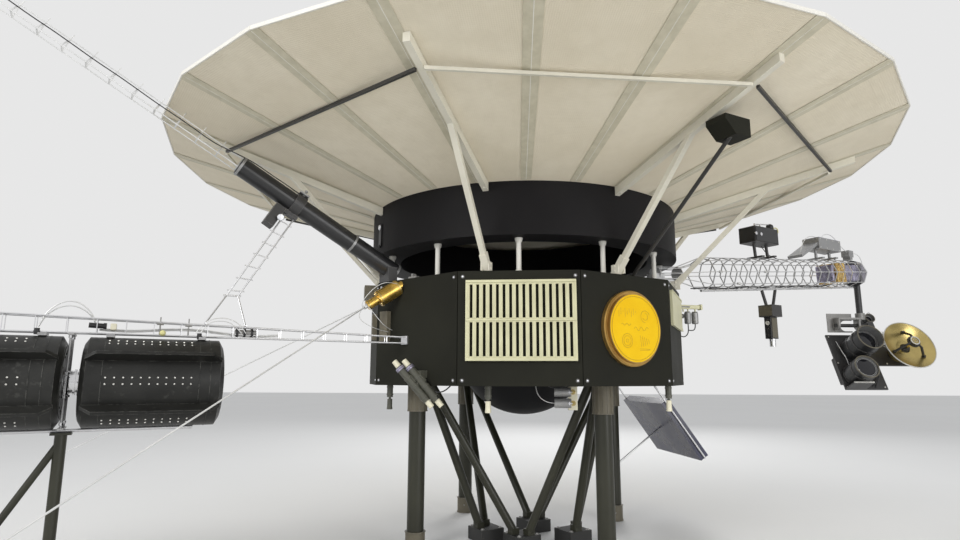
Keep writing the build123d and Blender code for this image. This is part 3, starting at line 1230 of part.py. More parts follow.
# Instruments: radius, back, front, along, up, wall of the hood, depth of the hood
platform_tubes = {
    "narrow_camera": (85.0, plate_front, 120.0, -60.0, -151.0, 5.0, 60.0),
    "wide_camera": (33.0, -80.0, 20.0, 72.0, ARM_LEVELS[1] + 33.0 + SEAT, 3.0, 26.0),
    "spectrometer": (78.0, plate_front, 50.0, -114.0, -332.0, 5.0, 12.0),
}
for name, (radius, back, front, along, up, wall, hood) in platform_tubes.items():
    with BuildPart() as tube:
        with BuildSketch(frame_plane(along, up, back)):
            Circle(radius)
        extrude(amount=front - back)
        with BuildSketch(frame_plane(along, up, front - hood)):
            Circle(radius - wall)
        extrude(amount=hood, mode=Mode.SUBTRACT)
    save(tube, name)

# Electronics box behind the face plate
with BuildPart() as electronics:
    with BuildSketch(frame_plane(*ELECTRONICS_AT, -FACE_PLATE_BACK)):
        Rectangle(ELECTRONICS_SIZE[0], ELECTRONICS_SIZE[1])
    extrude(amount=-ELECTRONICS_SIZE[2])
save(electronics, "platform_electronics")

# Small gold dish on its hub, with its own little mirror on a stalk
dish_back = SMALL_DISH_RIM_AHEAD - SMALL_DISH_DEPTH
dish_axis_plane = frame_plane(*SMALL_DISH_AT)
bowl_share = (0.55, 0.3)  # where the bowl's arc is held
with BuildPart() as small_dish:
    with BuildSketch(dish_axis_plane.offset(plate_front)):
        Circle(SMALL_DISH_HUB_RADIUS)
    extrude(amount=dish_back - plate_front + SMALL_DISH_HUB_LAP)
    turn_plane = Plane(origin=dish_axis_plane.origin, x_dir=lift_way, z_dir=lift_way.cross(aim))
    with BuildSketch(turn_plane):
        with BuildLine():
            for lip in (0.0, SMALL_DISH_SHEET):
                ThreePointArc(
                    (0.0, dish_back + lip),
                    (bowl_share[0] * SMALL_DISH_RADIUS, dish_back + bowl_share[1] * SMALL_DISH_DEPTH + lip),
                    (SMALL_DISH_RADIUS, SMALL_DISH_RIM_AHEAD + lip),
                )
            Line((0.0, dish_back), (0.0, dish_back + SMALL_DISH_SHEET))
            Line(
                (SMALL_DISH_RADIUS, SMALL_DISH_RIM_AHEAD),
                (SMALL_DISH_RADIUS, SMALL_DISH_RIM_AHEAD + SMALL_DISH_SHEET),
            )
        make_face()
    revolve(axis=Axis(origin=dish_axis_plane.origin, direction=aim))
    mirror_ahead = SMALL_DISH_RIM_AHEAD + SMALL_DISH_MIRROR_AHEAD
    with BuildSketch(dish_axis_plane.offset(dish_back)):
        Circle(SMALL_DISH_STALK_RADIUS)
    extrude(amount=mirror_ahead - dish_back)
    with BuildSketch(dish_axis_plane.offset(mirror_ahead - SMALL_DISH_MIRROR_DEPTH)):
        Circle(SMALL_DISH_MIRROR_RADIUS)
    extrude(amount=SMALL_DISH_MIRROR_DEPTH)
save(small_dish, "platform_gold_dish")

# Panel hanging under the body, its rails and its stay from a leg
hang_way = heading(HANG_AZIMUTH, HANG_TILT - 90.0)
hang_out = heading(HANG_AZIMUTH, HANG_TILT)
hang_side = heading(HANG_AZIMUTH + 90.0)
with BuildPart() as hang_panel:
    with BuildSketch(Plane(origin=HANG_CENTRE, x_dir=hang_side, z_dir=hang_out)):
        Rectangle(HANG_WIDTH, HANG_LENGTH)
    extrude(amount=HANG_THICKNESS)
save(hang_panel, "hanging_panel")

with BuildPart() as hang_rails:
    rail_shift = HANG_WIDTH / 2 + HANG_RAIL_RADIUS + SEAT
    for hand in (-1.0, 1.0):
        rail_middle = HANG_CENTRE + hang_side * (hand * rail_shift) + hang_out * (HANG_THICKNESS / 2)
        reach_up = (BODY_BOTTOM_Z - rail_middle.Z) / hang_way.Z
        rail_low = rail_middle + hang_way * (HANG_LENGTH / 2)
        bar(rail_middle + hang_way * (reach_up - HANG_RAIL_OVERRUN), rail_low, HANG_RAIL_RADIUS)
    split(bisect_by=Plane.XY.offset(BODY_BOTTOM_Z), keep=Keep.BOTTOM)

stay_leg = polar(LEG_CIRCLE, LEG_AZIMUTH + 90.0, HANG_STRUT_Z)
with BuildPart() as hang_strut:
    stay_way = (HANG_CENTRE - stay_leg).normalized()
    bar(stay_leg, HANG_CENTRE + stay_way * HANG_RAIL_OVERRUN, HANG_STRUT_RADIUS)
    hang_back = Plane(origin=HANG_CENTRE - hang_out * SEAT, x_dir=hang_side, z_dir=hang_out)
    split(bisect_by=hang_back, keep=Keep.BOTTOM)
    with BuildSketch(Plane.XY):
        with Locations((stay_leg.X, stay_leg.Y)):
            Circle(LEG_RADIUS + SEAT)
    extrude(amount=BODY_BOTTOM_Z, mode=Mode.SUBTRACT)
with BuildPart() as hang_rods:
    add(hang_rails.part)
    add(hang_strut.part)
save(hang_rods, "hanging_panel_rods")

# Wedge sensor, thin at its left end, and its leaning pole
wedge_half, wedge_rise = WEDGE_SIZE[0] / 2, WEDGE_SIZE[2] / 2
with BuildPart() as wedge:
    with BuildSketch(
        Plane(origin=WEDGE_CENTRE, x_dir=heading(WEDGE_AZIMUTH + 90.0), z_dir=heading(WEDGE_AZIMUTH))
    ):
        with BuildLine():
            Polyline(
                (-wedge_half, wedge_rise),
                (-wedge_half, wedge_rise - WEDGE_THIN),
                (-wedge_half + WEDGE_RUN, -wedge_rise),
                (wedge_half, -wedge_rise),
                (wedge_half, wedge_rise),
                close=True,
            )
        make_face()
    extrude(amount=WEDGE_SIZE[1] / 2, both=True)
save(wedge, "wedge_sensor")

pole_foot = polar(WEDGE_POLE_CIRCLE, WEDGE_POLE_AZIMUTH, BODY_TOP_Z)
pole_top = WEDGE_CENTRE - Vector(0, 0, WEDGE_SIZE[2] / 2)
pole_way = (pole_top - pole_foot).normalized()
with BuildPart() as wedge_pole:
    bar(pole_foot - pole_way * POLE_OVERRUN, pole_top + pole_way * POLE_OVERRUN, WEDGE_POLE_RADIUS)
    split(bisect_by=Plane.XY.offset(BODY_TOP_Z), keep=Keep.TOP)
    split(bisect_by=Plane.XY.offset(pole_top.Z), keep=Keep.BOTTOM)
save(wedge_pole, "wedge_sensor_pole")

# Thrusters that point down from the body's bottom: x, y
down_thrusters_at = ((-136.0, -715.0), (-620.0, -462.0), (665.0, -474.0))
down_thruster_steps = (  # drop of the top, length, radius
    (0.0, 56.0, 14.0),
    (56.0, 8.0, 6.0),
    (64.0, 48.0, 11.0),
)
with BuildPart() as down_thrusters:
    for thruster_x, thruster_y in down_thrusters_at:
        for top_drop, length, radius in down_thruster_steps:
            with BuildSketch(Plane.XY.offset(BODY_BOTTOM_Z - top_drop)):
                with Locations((thruster_x, thruster_y)):
                    Circle(radius)
            extrude(amount=-length)
save(down_thrusters, "down_thrusters")

# Pair of small tanks on a plate below the louvres
with BuildPart() as tank_pair:
    block(Vector(PAIR_AT.X, PAIR_AT.Y, BODY_BOTTOM_Z - PAIR_PLATE[2] / 2), 0.0, PAIR_PLATE)
    for tank_drop in PAIR_DROPS:
        middle = Vector(PAIR_AT.X - PAIR_PLATE[0] / 2, PAIR_AT.Y - PAIR_STANDOFF, BODY_BOTTOM_Z - tank_drop)
        inner_end = middle + Vector(PAIR_LAP, 0, 0)
        bar(inner_end - Vector(PAIR_TANK_LENGTH, 0, 0), inner_end, PAIR_TANK_RADIUS)
        bar(middle, middle + Vector(PAIR_LAP, PAIR_STANDOFF, 0), PAIR_STALK_RADIUS)
save(tank_pair, "under_body_pair")

# Two slanted thrusters on the lower edge of the left side, on one bracket
with BuildPart() as twin_thrusters:
    twin_way = (TWIN_LOW - TWIN_HIGH).normalized()
    for twin_shift in (Vector(0, 0, 0), TWIN_SHIFT):
        high = TWIN_HIGH + twin_shift
        low = TWIN_LOW + twin_shift
        bar(high, low, TWIN_RADIUS)
        bar(high - twin_way * TWIN_NOZZLE, high, TWIN_NOZZLE_RADIUS)
        bar(low, low + twin_way * TWIN_NOZZLE, TWIN_NOZZLE_RADIUS)
    twin_middle = (TWIN_LOW + TWIN_HIGH) * 0.5
    bar(twin_middle, twin_middle + TWIN_SHIFT, TWIN_LINK_RADIUS)
    bracket_start = twin_middle + TWIN_SHIFT * 0.5 + Vector(0, 0, TWIN_BRACKET_LIFT)
    square_bar(bracket_start, bracket_start - heading(BOOM_SIDE) * TWIN_BRACKET_LENGTH, TWIN_BRACKET_SIDE)
    split(bisect_by=side_plane(BOOM_SIDE, 0.0, BODY_BOTTOM_Z), keep=Keep.TOP)
save(twin_thrusters, "twin_thrusters")

# Pale plate on the right side and the thruster group on the corner after it
with BuildPart() as side_plate:
    with BuildSketch(side_plane(PLATE_SIDE, SIDE_PLATE_SHIFT, SIDE_PLATE_Z)):
        Rectangle(*SIDE_PLATE_SIZE)
    extrude(amount=SIDE_PLATE_THICKNESS)
save(side_plate, "side_plate")

with BuildPart() as corner_thrusters:
    with BuildSketch(side_plane(CORNER_SIDE, *CORNER_BASE_AT)):
        Rectangle(*CORNER_BASE_SIZE)
    extrude(amount=CORNER_BASE_DEPTH)
    for along, up, length in corner_nozzles:
        with BuildSketch(side_plane(CORNER_SIDE, along, up, CORNER_BASE_DEPTH)):
            Circle(CORNER_NOZZLE_RADIUS)
        extrude(amount=length)
save(corner_thrusters, "corner_thrusters")

# Fittings on the left sides: side's azimuth, along, height, width, tall, deep
left_fittings = (
    (BOOM_SIDE, -192.0, 1028.0, 52.0, 138.0, 22.0),
    (LEFT_SIDE, 205.0, 1031.0, 46.0, 124.0, 22.0),
    (LEFT_SIDE, 150.0, 1205.0, 90.0, 66.0, 62.0),
)
with BuildPart() as fittings:
    for azimuth, along, up, width, tall, deep in left_fittings:
        with BuildSketch(side_plane(azimuth, along, up)):
            Rectangle(width, tall)
        extrude(amount=deep)
save(fittings, "left_side_fittings")
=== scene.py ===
# %% [markdown]
# # A deep-space probe, as a display replica
# The real object is a full-size replica made of painted board, pipe, wire and
# sheet, standing on pipe legs on a floor. Its rigid forms come from a CAD model,
# loaded here as a fixed frame. This script gives each form its finish, and adds
# the seams, rivets, cables and small fittings that make it look handmade.

# %% Load the CAD frame
import bmesh
import bpy
from math import atan2, cos, pi, radians, sin, tan
from mathutils import Matrix, Vector


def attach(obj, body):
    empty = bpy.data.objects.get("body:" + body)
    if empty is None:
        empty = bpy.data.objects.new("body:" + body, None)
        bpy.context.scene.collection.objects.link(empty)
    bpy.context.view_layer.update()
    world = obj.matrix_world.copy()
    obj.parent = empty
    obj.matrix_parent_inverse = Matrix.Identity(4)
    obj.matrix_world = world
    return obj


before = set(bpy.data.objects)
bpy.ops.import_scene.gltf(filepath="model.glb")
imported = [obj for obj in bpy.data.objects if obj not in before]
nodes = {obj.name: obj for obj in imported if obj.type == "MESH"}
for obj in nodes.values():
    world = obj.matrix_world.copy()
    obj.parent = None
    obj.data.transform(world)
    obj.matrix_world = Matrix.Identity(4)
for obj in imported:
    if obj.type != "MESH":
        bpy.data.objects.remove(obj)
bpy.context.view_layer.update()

# %% [markdown]
# ## Camera
# The picture was taken from low in front of the probe, looking slightly up and
# to the left. A camera fitted to the dish's rim and the ten-sided body gives the
# place and the lens. The matrix is written out, because a small roll about the
# line of sight is clearer that way than in Euler angles.

# %% Place the camera
CAMERA_PLACE = Vector((0.066, -3.405, 0.789))
CAMERA_TURN = 5.056
CAMERA_RISE = 9.893
CAMERA_ROLL = 0.14
CAMERA_LENS = 23.294
SENSOR_WIDTH = 36.0

camera_data = bpy.data.cameras.new("camera")
camera_data.sensor_width = SENSOR_WIDTH
camera_data.lens = CAMERA_LENS
camera_data.clip_end = 200.0
camera = bpy.data.objects.new("camera", camera_data)
bpy.context.scene.collection.objects.link(camera)
camera.matrix_world = (
    Matrix.Translation(CAMERA_PLACE)
    @ Matrix.Rotation(radians(CAMERA_TURN), 4, "Z")
    @ Matrix.Rotation(radians(90.0 + CAMERA_RISE), 4, "X")
    @ Matrix.Rotation(radians(CAMERA_ROLL), 4, "Z")
)
bpy.context.scene.camera = camera
print("camera at", tuple(CAMERA_PLACE), "lens", CAMERA_LENS)

# %% [markdown]
# ## Shader maths as Python expressions
# A material's detail comes from sums and products of textures. Written node by
# node that is hard to read, so a small class wraps a socket and turns Python's
# operators into Math nodes. One method of the material adds every other node.

# %% Wrap a shader socket
class Value:
    """A shader socket that can be written in sums and products."""

    def __init__(self, finish, socket):
        self.finish = finish
        self.socket = socket

    def maths(self, operation, *values):
        inputs = dict(enumerate(values))
        return self.finish.add("ShaderNodeMath", {"operation": operation}, inputs)

    def also(self, output):
        """Another output of the node that this socket belongs to."""
        return Value(self.finish, self.socket.node.outputs[output])

    def __add__(self, other):
        return self.maths("ADD", self, other)

    def __radd__(self, other):
        return self.maths("ADD", other, self)

    def __sub__(self, other):
        return self.maths("SUBTRACT", self, other)

    def __rsub__(self, other):
        return self.maths("SUBTRACT", other, self)

    def __mul__(self, other):
        return self.maths("MULTIPLY", self, other)

    def __rmul__(self, other):
        return self.maths("MULTIPLY", other, self)

    def __truediv__(self, other):
        return self.maths("DIVIDE", self, other)

    def __abs__(self):
        return self.maths("ABSOLUTE", self)

    def __lt__(self, other):
        return self.maths("LESS_THAN", self, other)

    def __gt__(self, other):
        return self.maths("GREATER_THAN", self, other)

    def fraction(self):
        return self.maths("FRACT", self)

    def spread(self, low, high):
        """0 below low, 1 above high, and smooth between them."""
        limits = {"Value": self, "From Min": low, "From Max": high}
        return self.finish.add("ShaderNodeMapRange", {"interpolation_type": "SMOOTHSTEP"}, limits)


# %% Wrap a material
class Finish:
    """A material on a metal and roughness shader, with its nodes added by add()."""

    def __init__(self, name):
        self.material = bpy.data.materials.new(name)
        self.material.use_nodes = True
        self.tree = self.material.node_tree
        self.shader = self.tree.nodes["Principled BSDF"]
        self.place = self.add("ShaderNodeTexCoord", {}, {}, "Object")

    def add(self, kind, settings, inputs, output=0):
        """Adds a node: its settings first, then the values or links of its sockets."""
        node = self.tree.nodes.new(kind)
        for key, setting in settings.items():
            if key == "stops":
                for stop, (position, colour) in zip(self.stops(node, len(setting)), setting):
                    stop.position = position
                    stop.color = (*colour, 1.0)
            else:
                setattr(node, key, setting)
        for key, value in inputs.items():
            self.feed(node.inputs[key], value)
        return Value(self, node.outputs[output])

    def stops(self, node, count):
        elements = node.color_ramp.elements
        while len(elements) < count:
            elements.new(1.0)
        return elements

    def feed(self, socket, value):
        """Links a socket, or sets its value."""
        if isinstance(value, Value):
            self.tree.links.new(value.socket, socket)
        elif isinstance(value, tuple) and len(value) == 3 and socket.type == "RGBA":
            socket.default_value = (*value, 1.0)
        else:
            socket.default_value = value

    def mix(self, mask, first, second):
        """A colour between two others."""
        return self.add("ShaderNodeMix", {"data_type": "RGBA"}, {0: mask, 6: first, 7: second}, 2)

    def noise(self, scale, detail=3.0, roughness=0.55, place=None):
        inputs = {"Vector": place or self.place, "Scale": scale, "Detail": detail, "Roughness": roughness}
        return self.add("ShaderNodeTexNoise", {}, inputs)

    def axes(self):
        """The three object coordinates, one by one."""
        x = self.add("ShaderNodeSeparateXYZ", {}, {0: self.place})
        return x, x.also("Y"), x.also("Z")

    def bump(self, height, depth, normal=None):
        inputs = {"Height": height, "Distance": depth, "Strength": 1.0}
        if normal is not None:
            inputs["Normal"] = normal
        return self.add("ShaderNodeBump", {}, inputs)

    def wear(self, radius):
        """1 on sharp edges, from a rounded normal, and 0 on flats."""
        rounded = self.add("ShaderNodeBevel", {"samples": 4}, {"Radius": radius})
        flat = self.add("ShaderNodeNewGeometry", {}, {}, "Normal")
        dot = self.add("ShaderNodeVectorMath", {"operation": "DOT_PRODUCT"}, {0: rounded, 1: flat}, "Value")
        return (1.0 - dot).spread(0.02, 0.22)

    def set(self, **sockets):
        """Feeds the shader's sockets, named with _ for a space."""
        for key, value in sockets.items():
            self.feed(self.shader.inputs[key.replace("_", " ")], value)
        return self


print("shader tools ready")

# %% [markdown]
# ## Stage and light
# A wide pale floor keeps the probe's shadow, and the pale world seen behind it
# hides the horizon. The dish is seen from below, so much of its light comes back up
# from the floor, as it does in a studio. Large lamps keep the shadows soft.

# %% Floor
STAGE_PALE = (0.80, 0.80, 0.79)

stage_finish = Finish("stage_paper")
stage_cloud = stage_finish.noise(0.35, 4.0)
stage_tone = stage_finish.mix(stage_cloud.spread(0.3, 0.7), (0.78, 0.78, 0.77), STAGE_PALE)
stage_finish.set(Base_Color=stage_tone, Roughness=0.9)

bm = bmesh.new()
bmesh.ops.create_grid(bm, x_segments=2, y_segments=2, size=30.0)
bmesh.ops.translate(bm, verts=bm.verts, vec=(0.0, 0.0, -0.002))
floor_mesh = bpy.data.meshes.new("floor")
bm.to_mesh(floor_mesh)
bm.free()
floor_mesh.materials.append(stage_finish.material)
floor = bpy.data.objects.new("floor", floor_mesh)
bpy.context.scene.collection.objects.link(floor)
print("floor laid")

# %% World and lamps
WORLD_LIGHT = 0.62
WORLD_SEEN = 0.80

world = bpy.data.worlds.new("studio")
bpy.context.scene.world = world
world.use_nodes = True
world_nodes = world.node_tree.nodes
world_links = world.node_tree.links
background = world_nodes["Background"]
background.inputs["Color"].default_value = (0.97, 0.98, 1.0, 1.0)
background.inputs["Strength"].default_value = WORLD_LIGHT
seen = world_nodes.new("ShaderNodeBackground")
seen.inputs["Color"].default_value = (1.0, 1.0, 1.0, 1.0)
seen.inputs["Strength"].default_value = WORLD_SEEN
paths = world_nodes.new("ShaderNodeLightPath")
seen_or_glossy = world_nodes.new("ShaderNodeMath")
seen_or_glossy.operation = "MAXIMUM"
seen_or_clear = world_nodes.new("ShaderNodeMath")
seen_or_clear.operation = "MAXIMUM"
choice = world_nodes.new("ShaderNodeMixShader")
world_links.new(paths.outputs["Is Camera Ray"], seen_or_glossy.inputs[0])
world_links.new(paths.outputs["Is Glossy Ray"], seen_or_glossy.inputs[1])
world_links.new(seen_or_glossy.outputs[0], seen_or_clear.inputs[0])
world_links.new(paths.outputs["Is Transmission Ray"], seen_or_clear.inputs[1])
world_links.new(seen_or_clear.outputs[0], choice.inputs[0])
world_links.new(background.outputs[0], choice.inputs[1])
world_links.new(seen.outputs[0], choice.inputs[2])
world_links.new(choice.outputs[0], world_nodes["World Output"].inputs["Surface"])

LAMPS = {  # name: place, point aimed at, size, watts
    "key": ((-3.5, -5.5, 3.6), (0.0, 0.0, 1.2), 3.0, 210.0),
    "fill": ((4.5, -5.0, 1.6), (0.5, 0.0, 1.3), 3.0, 120.0),
    "back": ((1.0, 6.0, 4.5), (0.0, 0.0, 1.2), 3.0, 150.0),
}
for name, (place, aim, size, watts) in LAMPS.items():
    lamp_data = bpy.data.lights.new(name, "AREA")
    lamp_data.shape = "DISK"
    lamp_data.size = size
    lamp_data.energy = watts
    lamp = bpy.data.objects.new(name, lamp_data)
    way = Vector(place) - Vector(aim)
    lamp.matrix_world = Matrix.Translation(place) @ way.to_track_quat("Z", "Y").to_matrix().to_4x4()
    bpy.context.scene.collection.objects.link(lamp)
bpy.context.scene.view_settings.view_transform = "Standard"
print("lamps:", len(LAMPS))

# %% [markdown]
# ## Painted and metal finishes
# Most of the replica is brush-painted board and tube. Even plain paint is never
# one colour: it is a little cloudy, has a fine grain, and is rubbed on edges.
# One function makes such a paint from a few numbers, so that each part can have
# its own colour, gloss and grain. Metals use the same function with less relief.

# %% A paint or metal with clouds, grain and rubbed edges
def coat(name, colour, roughness, metallic=0.0, cloud=0.12, cloud_scale=5.0, grain_scale=420.0,
         grain_depth=0.00012, edge=0.0, edge_colour=None, gloss=0.5):
    finish = Finish(name)
    clouds = finish.noise(cloud_scale, 5.0).spread(0.28, 0.72)
    grain = finish.noise(grain_scale, 2.0)
    darker = tuple(channel * (1.0 - cloud) for channel in colour)
    lighter = tuple(min(channel * (1.0 + cloud), 1.0) for channel in colour)
    tone = finish.mix(clouds, darker, lighter)
    rough = roughness + (clouds - 0.5) * 0.12 + (grain - 0.5) * 0.10
    if edge:
        worn = finish.wear(edge) * finish.noise(60.0, 3.0).spread(0.35, 0.6)
        tone = finish.mix(worn, tone, edge_colour or lighter)
    finish.set(Base_Color=tone, Roughness=rough, Metallic=metallic, Normal=finish.bump(grain, grain_depth))
    finish.set(Specular_IOR_Level=gloss)
    return finish


plain_coats = {  # name: colour, roughness, metallic, and what differs from the usual
    "ivory_paint": ((0.66, 0.63, 0.53), 0.45, 0.0, {"cloud": 0.07, "edge": 0.004, "edge_colour": (0.74, 0.72, 0.64)}),
    "pillar_white": ((0.72, 0.70, 0.64), 0.42, 0.0, {"cloud": 0.06}),
    "bar_black": ((0.022, 0.021, 0.019), 0.42, 0.0, {"edge": 0.003, "edge_colour": (0.10, 0.10, 0.09)}),
    "board_black": ((0.0155, 0.0155, 0.0110), 0.62, 0.0, {"cloud": 0.22, "cloud_scale": 2.6, "gloss": 0.12}),
    "drum_black": ((0.0105, 0.0098, 0.0104), 0.58, 0.0, {"cloud": 0.25, "cloud_scale": 2.0, "gloss": 0.11}),
    "tank_black": ((0.010, 0.010, 0.011), 0.60, 0.0, {"cloud": 0.3, "gloss": 0.15}),
    "block_black": ((0.018, 0.018, 0.017), 0.65, 0.0, {"edge": 0.006, "edge_colour": (0.06, 0.06, 0.055)}),
    "canister_black": ((0.018, 0.018, 0.019), 0.36, 0.0, {"cloud": 0.2, "grain_scale": 260.0}),
    "case_dark": ((0.045, 0.044, 0.044), 0.48, 0.2, {"edge": 0.004, "edge_colour": (0.20, 0.19, 0.18)}),
    "case_grey": ((0.30, 0.30, 0.30), 0.42, 0.5, {"edge": 0.004, "edge_colour": (0.52, 0.51, 0.49)}),
    "case_pale": ((0.58, 0.57, 0.53), 0.45, 0.1, {"edge": 0.004, "edge_colour": (0.70, 0.69, 0.65)}),
    "pipe_black": ((0.032, 0.032, 0.022), 0.36, 0.0, {"cloud": 0.18, "cloud_scale": 3.0, "grain_scale": 300.0, "gloss": 0.3}),
    "thruster_olive": ((0.075, 0.075, 0.058), 0.45, 0.1, {"edge": 0.003, "edge_colour": (0.20, 0.20, 0.17)}),
    "collar_grey": ((0.125, 0.110, 0.075), 0.50, 0.0, {"cloud": 0.18, "edge": 0.003, "edge_colour": (0.26, 0.24, 0.20)}),
    "clamp_grey": ((0.25, 0.245, 0.235), 0.45, 0.3, {"edge": 0.003, "edge_colour": (0.48, 0.47, 0.45)}),
    "wire_silver": ((0.62, 0.62, 0.63), 0.34, 0.75, {"cloud": 0.1, "grain_scale": 800.0, "grain_depth": 0.00005}),
    "wire_white": ((0.70, 0.70, 0.69), 0.40, 0.35, {"cloud": 0.1, "grain_scale": 800.0, "grain_depth": 0.00005}),
    "steel_bright": ((0.70, 0.70, 0.71), 0.22, 1.0, {"cloud": 0.08, "grain_scale": 900.0, "grain_depth": 0.00004}),
    "brass_dark": ((0.46, 0.36, 0.14), 0.30, 0.9, {"cloud": 0.2, "edge": 0.003, "edge_colour": (0.72, 0.52, 0.22)}),
    "lens_black": ((0.006, 0.006, 0.009), 0.05, 0.0, {"cloud": 0.1, "grain_depth": 0.0}),
}
finishes = {
    name: coat(name, colour, roughness, metallic, **extra)
    for name, (colour, roughness, metallic, extra) in plain_coats.items()
}
print("plain finishes:", len(finishes))

# %% [markdown]
# ## Cloth, foil and worked metal
# Some finishes need their own pattern. The dish's gores are covered in a fine
# ivory cloth, whose threads run across and along each gore. Gold foil is
# crumpled into small flat facets, which a cell pattern gives better than noise
# does. The golden disc is brushed, so its grain runs in rings.

# %% Ivory cloth on the dish
DISH_SIDES = 24
RIB_AZIMUTH = -57.5
THREAD_PITCH = 0.0075

cloth = Finish("dish_cloth")
x, y, z = cloth.axes()
turn = y.maths("ARCTAN2", y, x)
gore = ((turn * (DISH_SIDES / (2 * pi)) - RIB_AZIMUTH * DISH_SIDES / 360.0).fraction() - 0.5) * (2 * pi / DISH_SIDES)
reach = (x * x + y * y).maths("SQRT", x * x + y * y)
along = reach * gore.maths("COSINE", gore)
across = reach * gore.maths("SINE", gore)
ridge = 2 * pi / THREAD_PITCH
weft = (along * ridge).maths("SINE", along * ridge)
warp = (across * ridge).maths("SINE", across * ridge)
threads = (weft + warp) * 0.25 + 0.5
stain = cloth.noise(2.2, 6.0, 0.6).spread(0.3, 0.7)
streak = cloth.noise(14.0, 4.0).spread(0.35, 0.75)
cloth_tone = cloth.mix(stain, (0.700, 0.632, 0.492), (0.775, 0.710, 0.570))
cloth_tone = cloth.mix(streak * 0.35, cloth_tone, (0.640, 0.575, 0.440))
cloth_tone = cloth.mix(threads * 0.16, cloth_tone, (0.570, 0.510, 0.390))
cloth.set(Base_Color=cloth_tone, Roughness=0.70 + threads * 0.12, Normal=cloth.bump(threads + streak, 0.0006))
finishes["dish_cloth"] = cloth
print("cloth threads per metre:", round(1 / THREAD_PITCH))

# %% Cloth tape over the seams
tape = Finish("seam_tape")
tape_cloud = tape.noise(30.0, 4.0).spread(0.3, 0.7)
tape_tone = tape.mix(tape_cloud, (0.500, 0.462, 0.345), (0.580, 0.540, 0.415))
tape.set(Base_Color=tape_tone, Roughness=0.55 + tape_cloud * 0.15, Normal=tape.bump(tape.noise(500.0, 2.0), 0.0003))
finishes["seam_tape"] = tape

# %% Crumpled gold foil
foil = Finish("gold_foil")
crease = foil.add("ShaderNodeTexVoronoi", {"feature": "F1"}, {"Vector": foil.place, "Scale": 55.0})
crumple = foil.noise(38.0, 6.0, 0.6)
foil_tone = foil.mix(crumple.spread(0.3, 0.7), (0.50, 0.30, 0.07), (0.86, 0.62, 0.24))
foil_bump = foil.bump(crease + crumple * 1.4, 0.006)
foil.set(Base_Color=foil_tone, Metallic=0.9, Roughness=0.24 + crumple * 0.12, Normal=foil_bump)
finishes["gold_foil"] = foil
print("foil creases ready")

# %% Brushed gold
BODY_FLAT = 0.843 * cos(radians(18.0))
DISC_SIDE = -54.0
DISC_CENTRE_Z = 1.004
DISC_SHIFT = 0.010
disc_out = Vector((cos(radians(DISC_SIDE)), sin(radians(DISC_SIDE)), 0.0))
disc_along = Vector((-sin(radians(DISC_SIDE)), cos(radians(DISC_SIDE)), 0.0))


def disc_finish(name, dark, light, roughness, metallic):
    gold = Finish(name)
    x, y, z = gold.axes()
    side = x * disc_along.x + y * disc_along.y - DISC_SHIFT
    rise = z - DISC_CENTRE_Z
    reach = side.maths("SQRT", side * side + rise * rise)
    rings = gold.noise(1.0, 4.0, place=gold.add("ShaderNodeCombineXYZ", {}, {0: reach * 900.0}))
    cloud = gold.noise(9.0, 4.0).spread(0.3, 0.7)
    tone = gold.mix(cloud * 0.6 + rings * 0.4, dark, light)
    gold.set(Base_Color=tone, Metallic=metallic, Roughness=roughness + rings * 0.12, Normal=gold.bump(rings, 0.00015))
    gold.set(Specular_IOR_Level=0.15)
    return gold


finishes["disc_gold"] = disc_finish("disc_gold", (0.82, 0.49, 0.004), (0.90, 0.59, 0.010), 0.42, 0.2)
finishes["disc_rim"] = disc_finish("disc_rim", (0.30, 0.17, 0.04), (0.56, 0.36, 0.12), 0.30, 0.8)
print("gold disc at height", DISC_CENTRE_Z)

# %% Louvres, generator shells and the blue panel
louvre = Finish("louvre_cream")
louvre_cloud = louvre.noise(12.0, 4.0).spread(0.3, 0.7)
louvre_tone = louvre.mix(louvre_cloud, (0.560, 0.540, 0.345), (0.635, 0.615, 0.405))
louvre_worn = louvre.wear(0.002)
louvre_tone = louvre.mix(louvre_worn * 0.5, louvre_tone, (0.70, 0.68, 0.53))
louvre.set(Base_Color=louvre_tone, Roughness=0.38 + louvre_cloud * 0.1, Metallic=0.15, Normal=louvre.bump(louvre.noise(600.0), 0.0001))
finishes["louvre_cream"] = louvre

shell = Finish("generator_black")
shell_cloud = shell.noise(4.5, 5.0).spread(0.3, 0.7)
shell_scuff = shell.noise(32.0, 6.0, 0.65).spread(0.58, 0.72)
shell_edge = shell.wear(0.004) * shell.noise(45.0, 3.0).spread(0.4, 0.6)
shell_tone = shell.mix(shell_cloud, (0.010, 0.010, 0.009), (0.021, 0.021, 0.019))
shell_tone = shell.mix(shell_scuff * 0.28 + shell_edge, shell_tone, (0.11, 0.11, 0.10))
shell.set(Base_Color=shell_tone, Roughness=0.34 + shell_cloud * 0.14 + shell_scuff * 0.2, Normal=shell.bump(shell.noise(350.0, 2.0), 0.00015))
shell.set(Specular_IOR_Level=0.3)
finishes["generator_black"] = shell

panel = Finish("panel_blue")
panel_cloud = panel.noise(7.0, 5.0).spread(0.3, 0.7)
panel_tone = panel.mix(panel_cloud, (0.012, 0.013, 0.040), (0.028, 0.030, 0.075))
panel.set(Base_Color=panel_tone, Roughness=0.22 + panel_cloud * 0.12, Normal=panel.bump(panel.noise(300.0, 2.0), 0.0001))
finishes["panel_blue"] = panel
print("finishes in all:", len(finishes))

# %% [markdown]
# ## Give each CAD form its finish
# The science boom is one form, but its drooping post is painted black while its
# wires are silver. The mesh can't be split, so its finish chooses between the
# two by the distance from the post's axis.

# %% Finish of the science boom: silver wires and a black post
POST_AT = Vector((2.28982, 1.06239, 0.0))
POST_REACH = 0.060

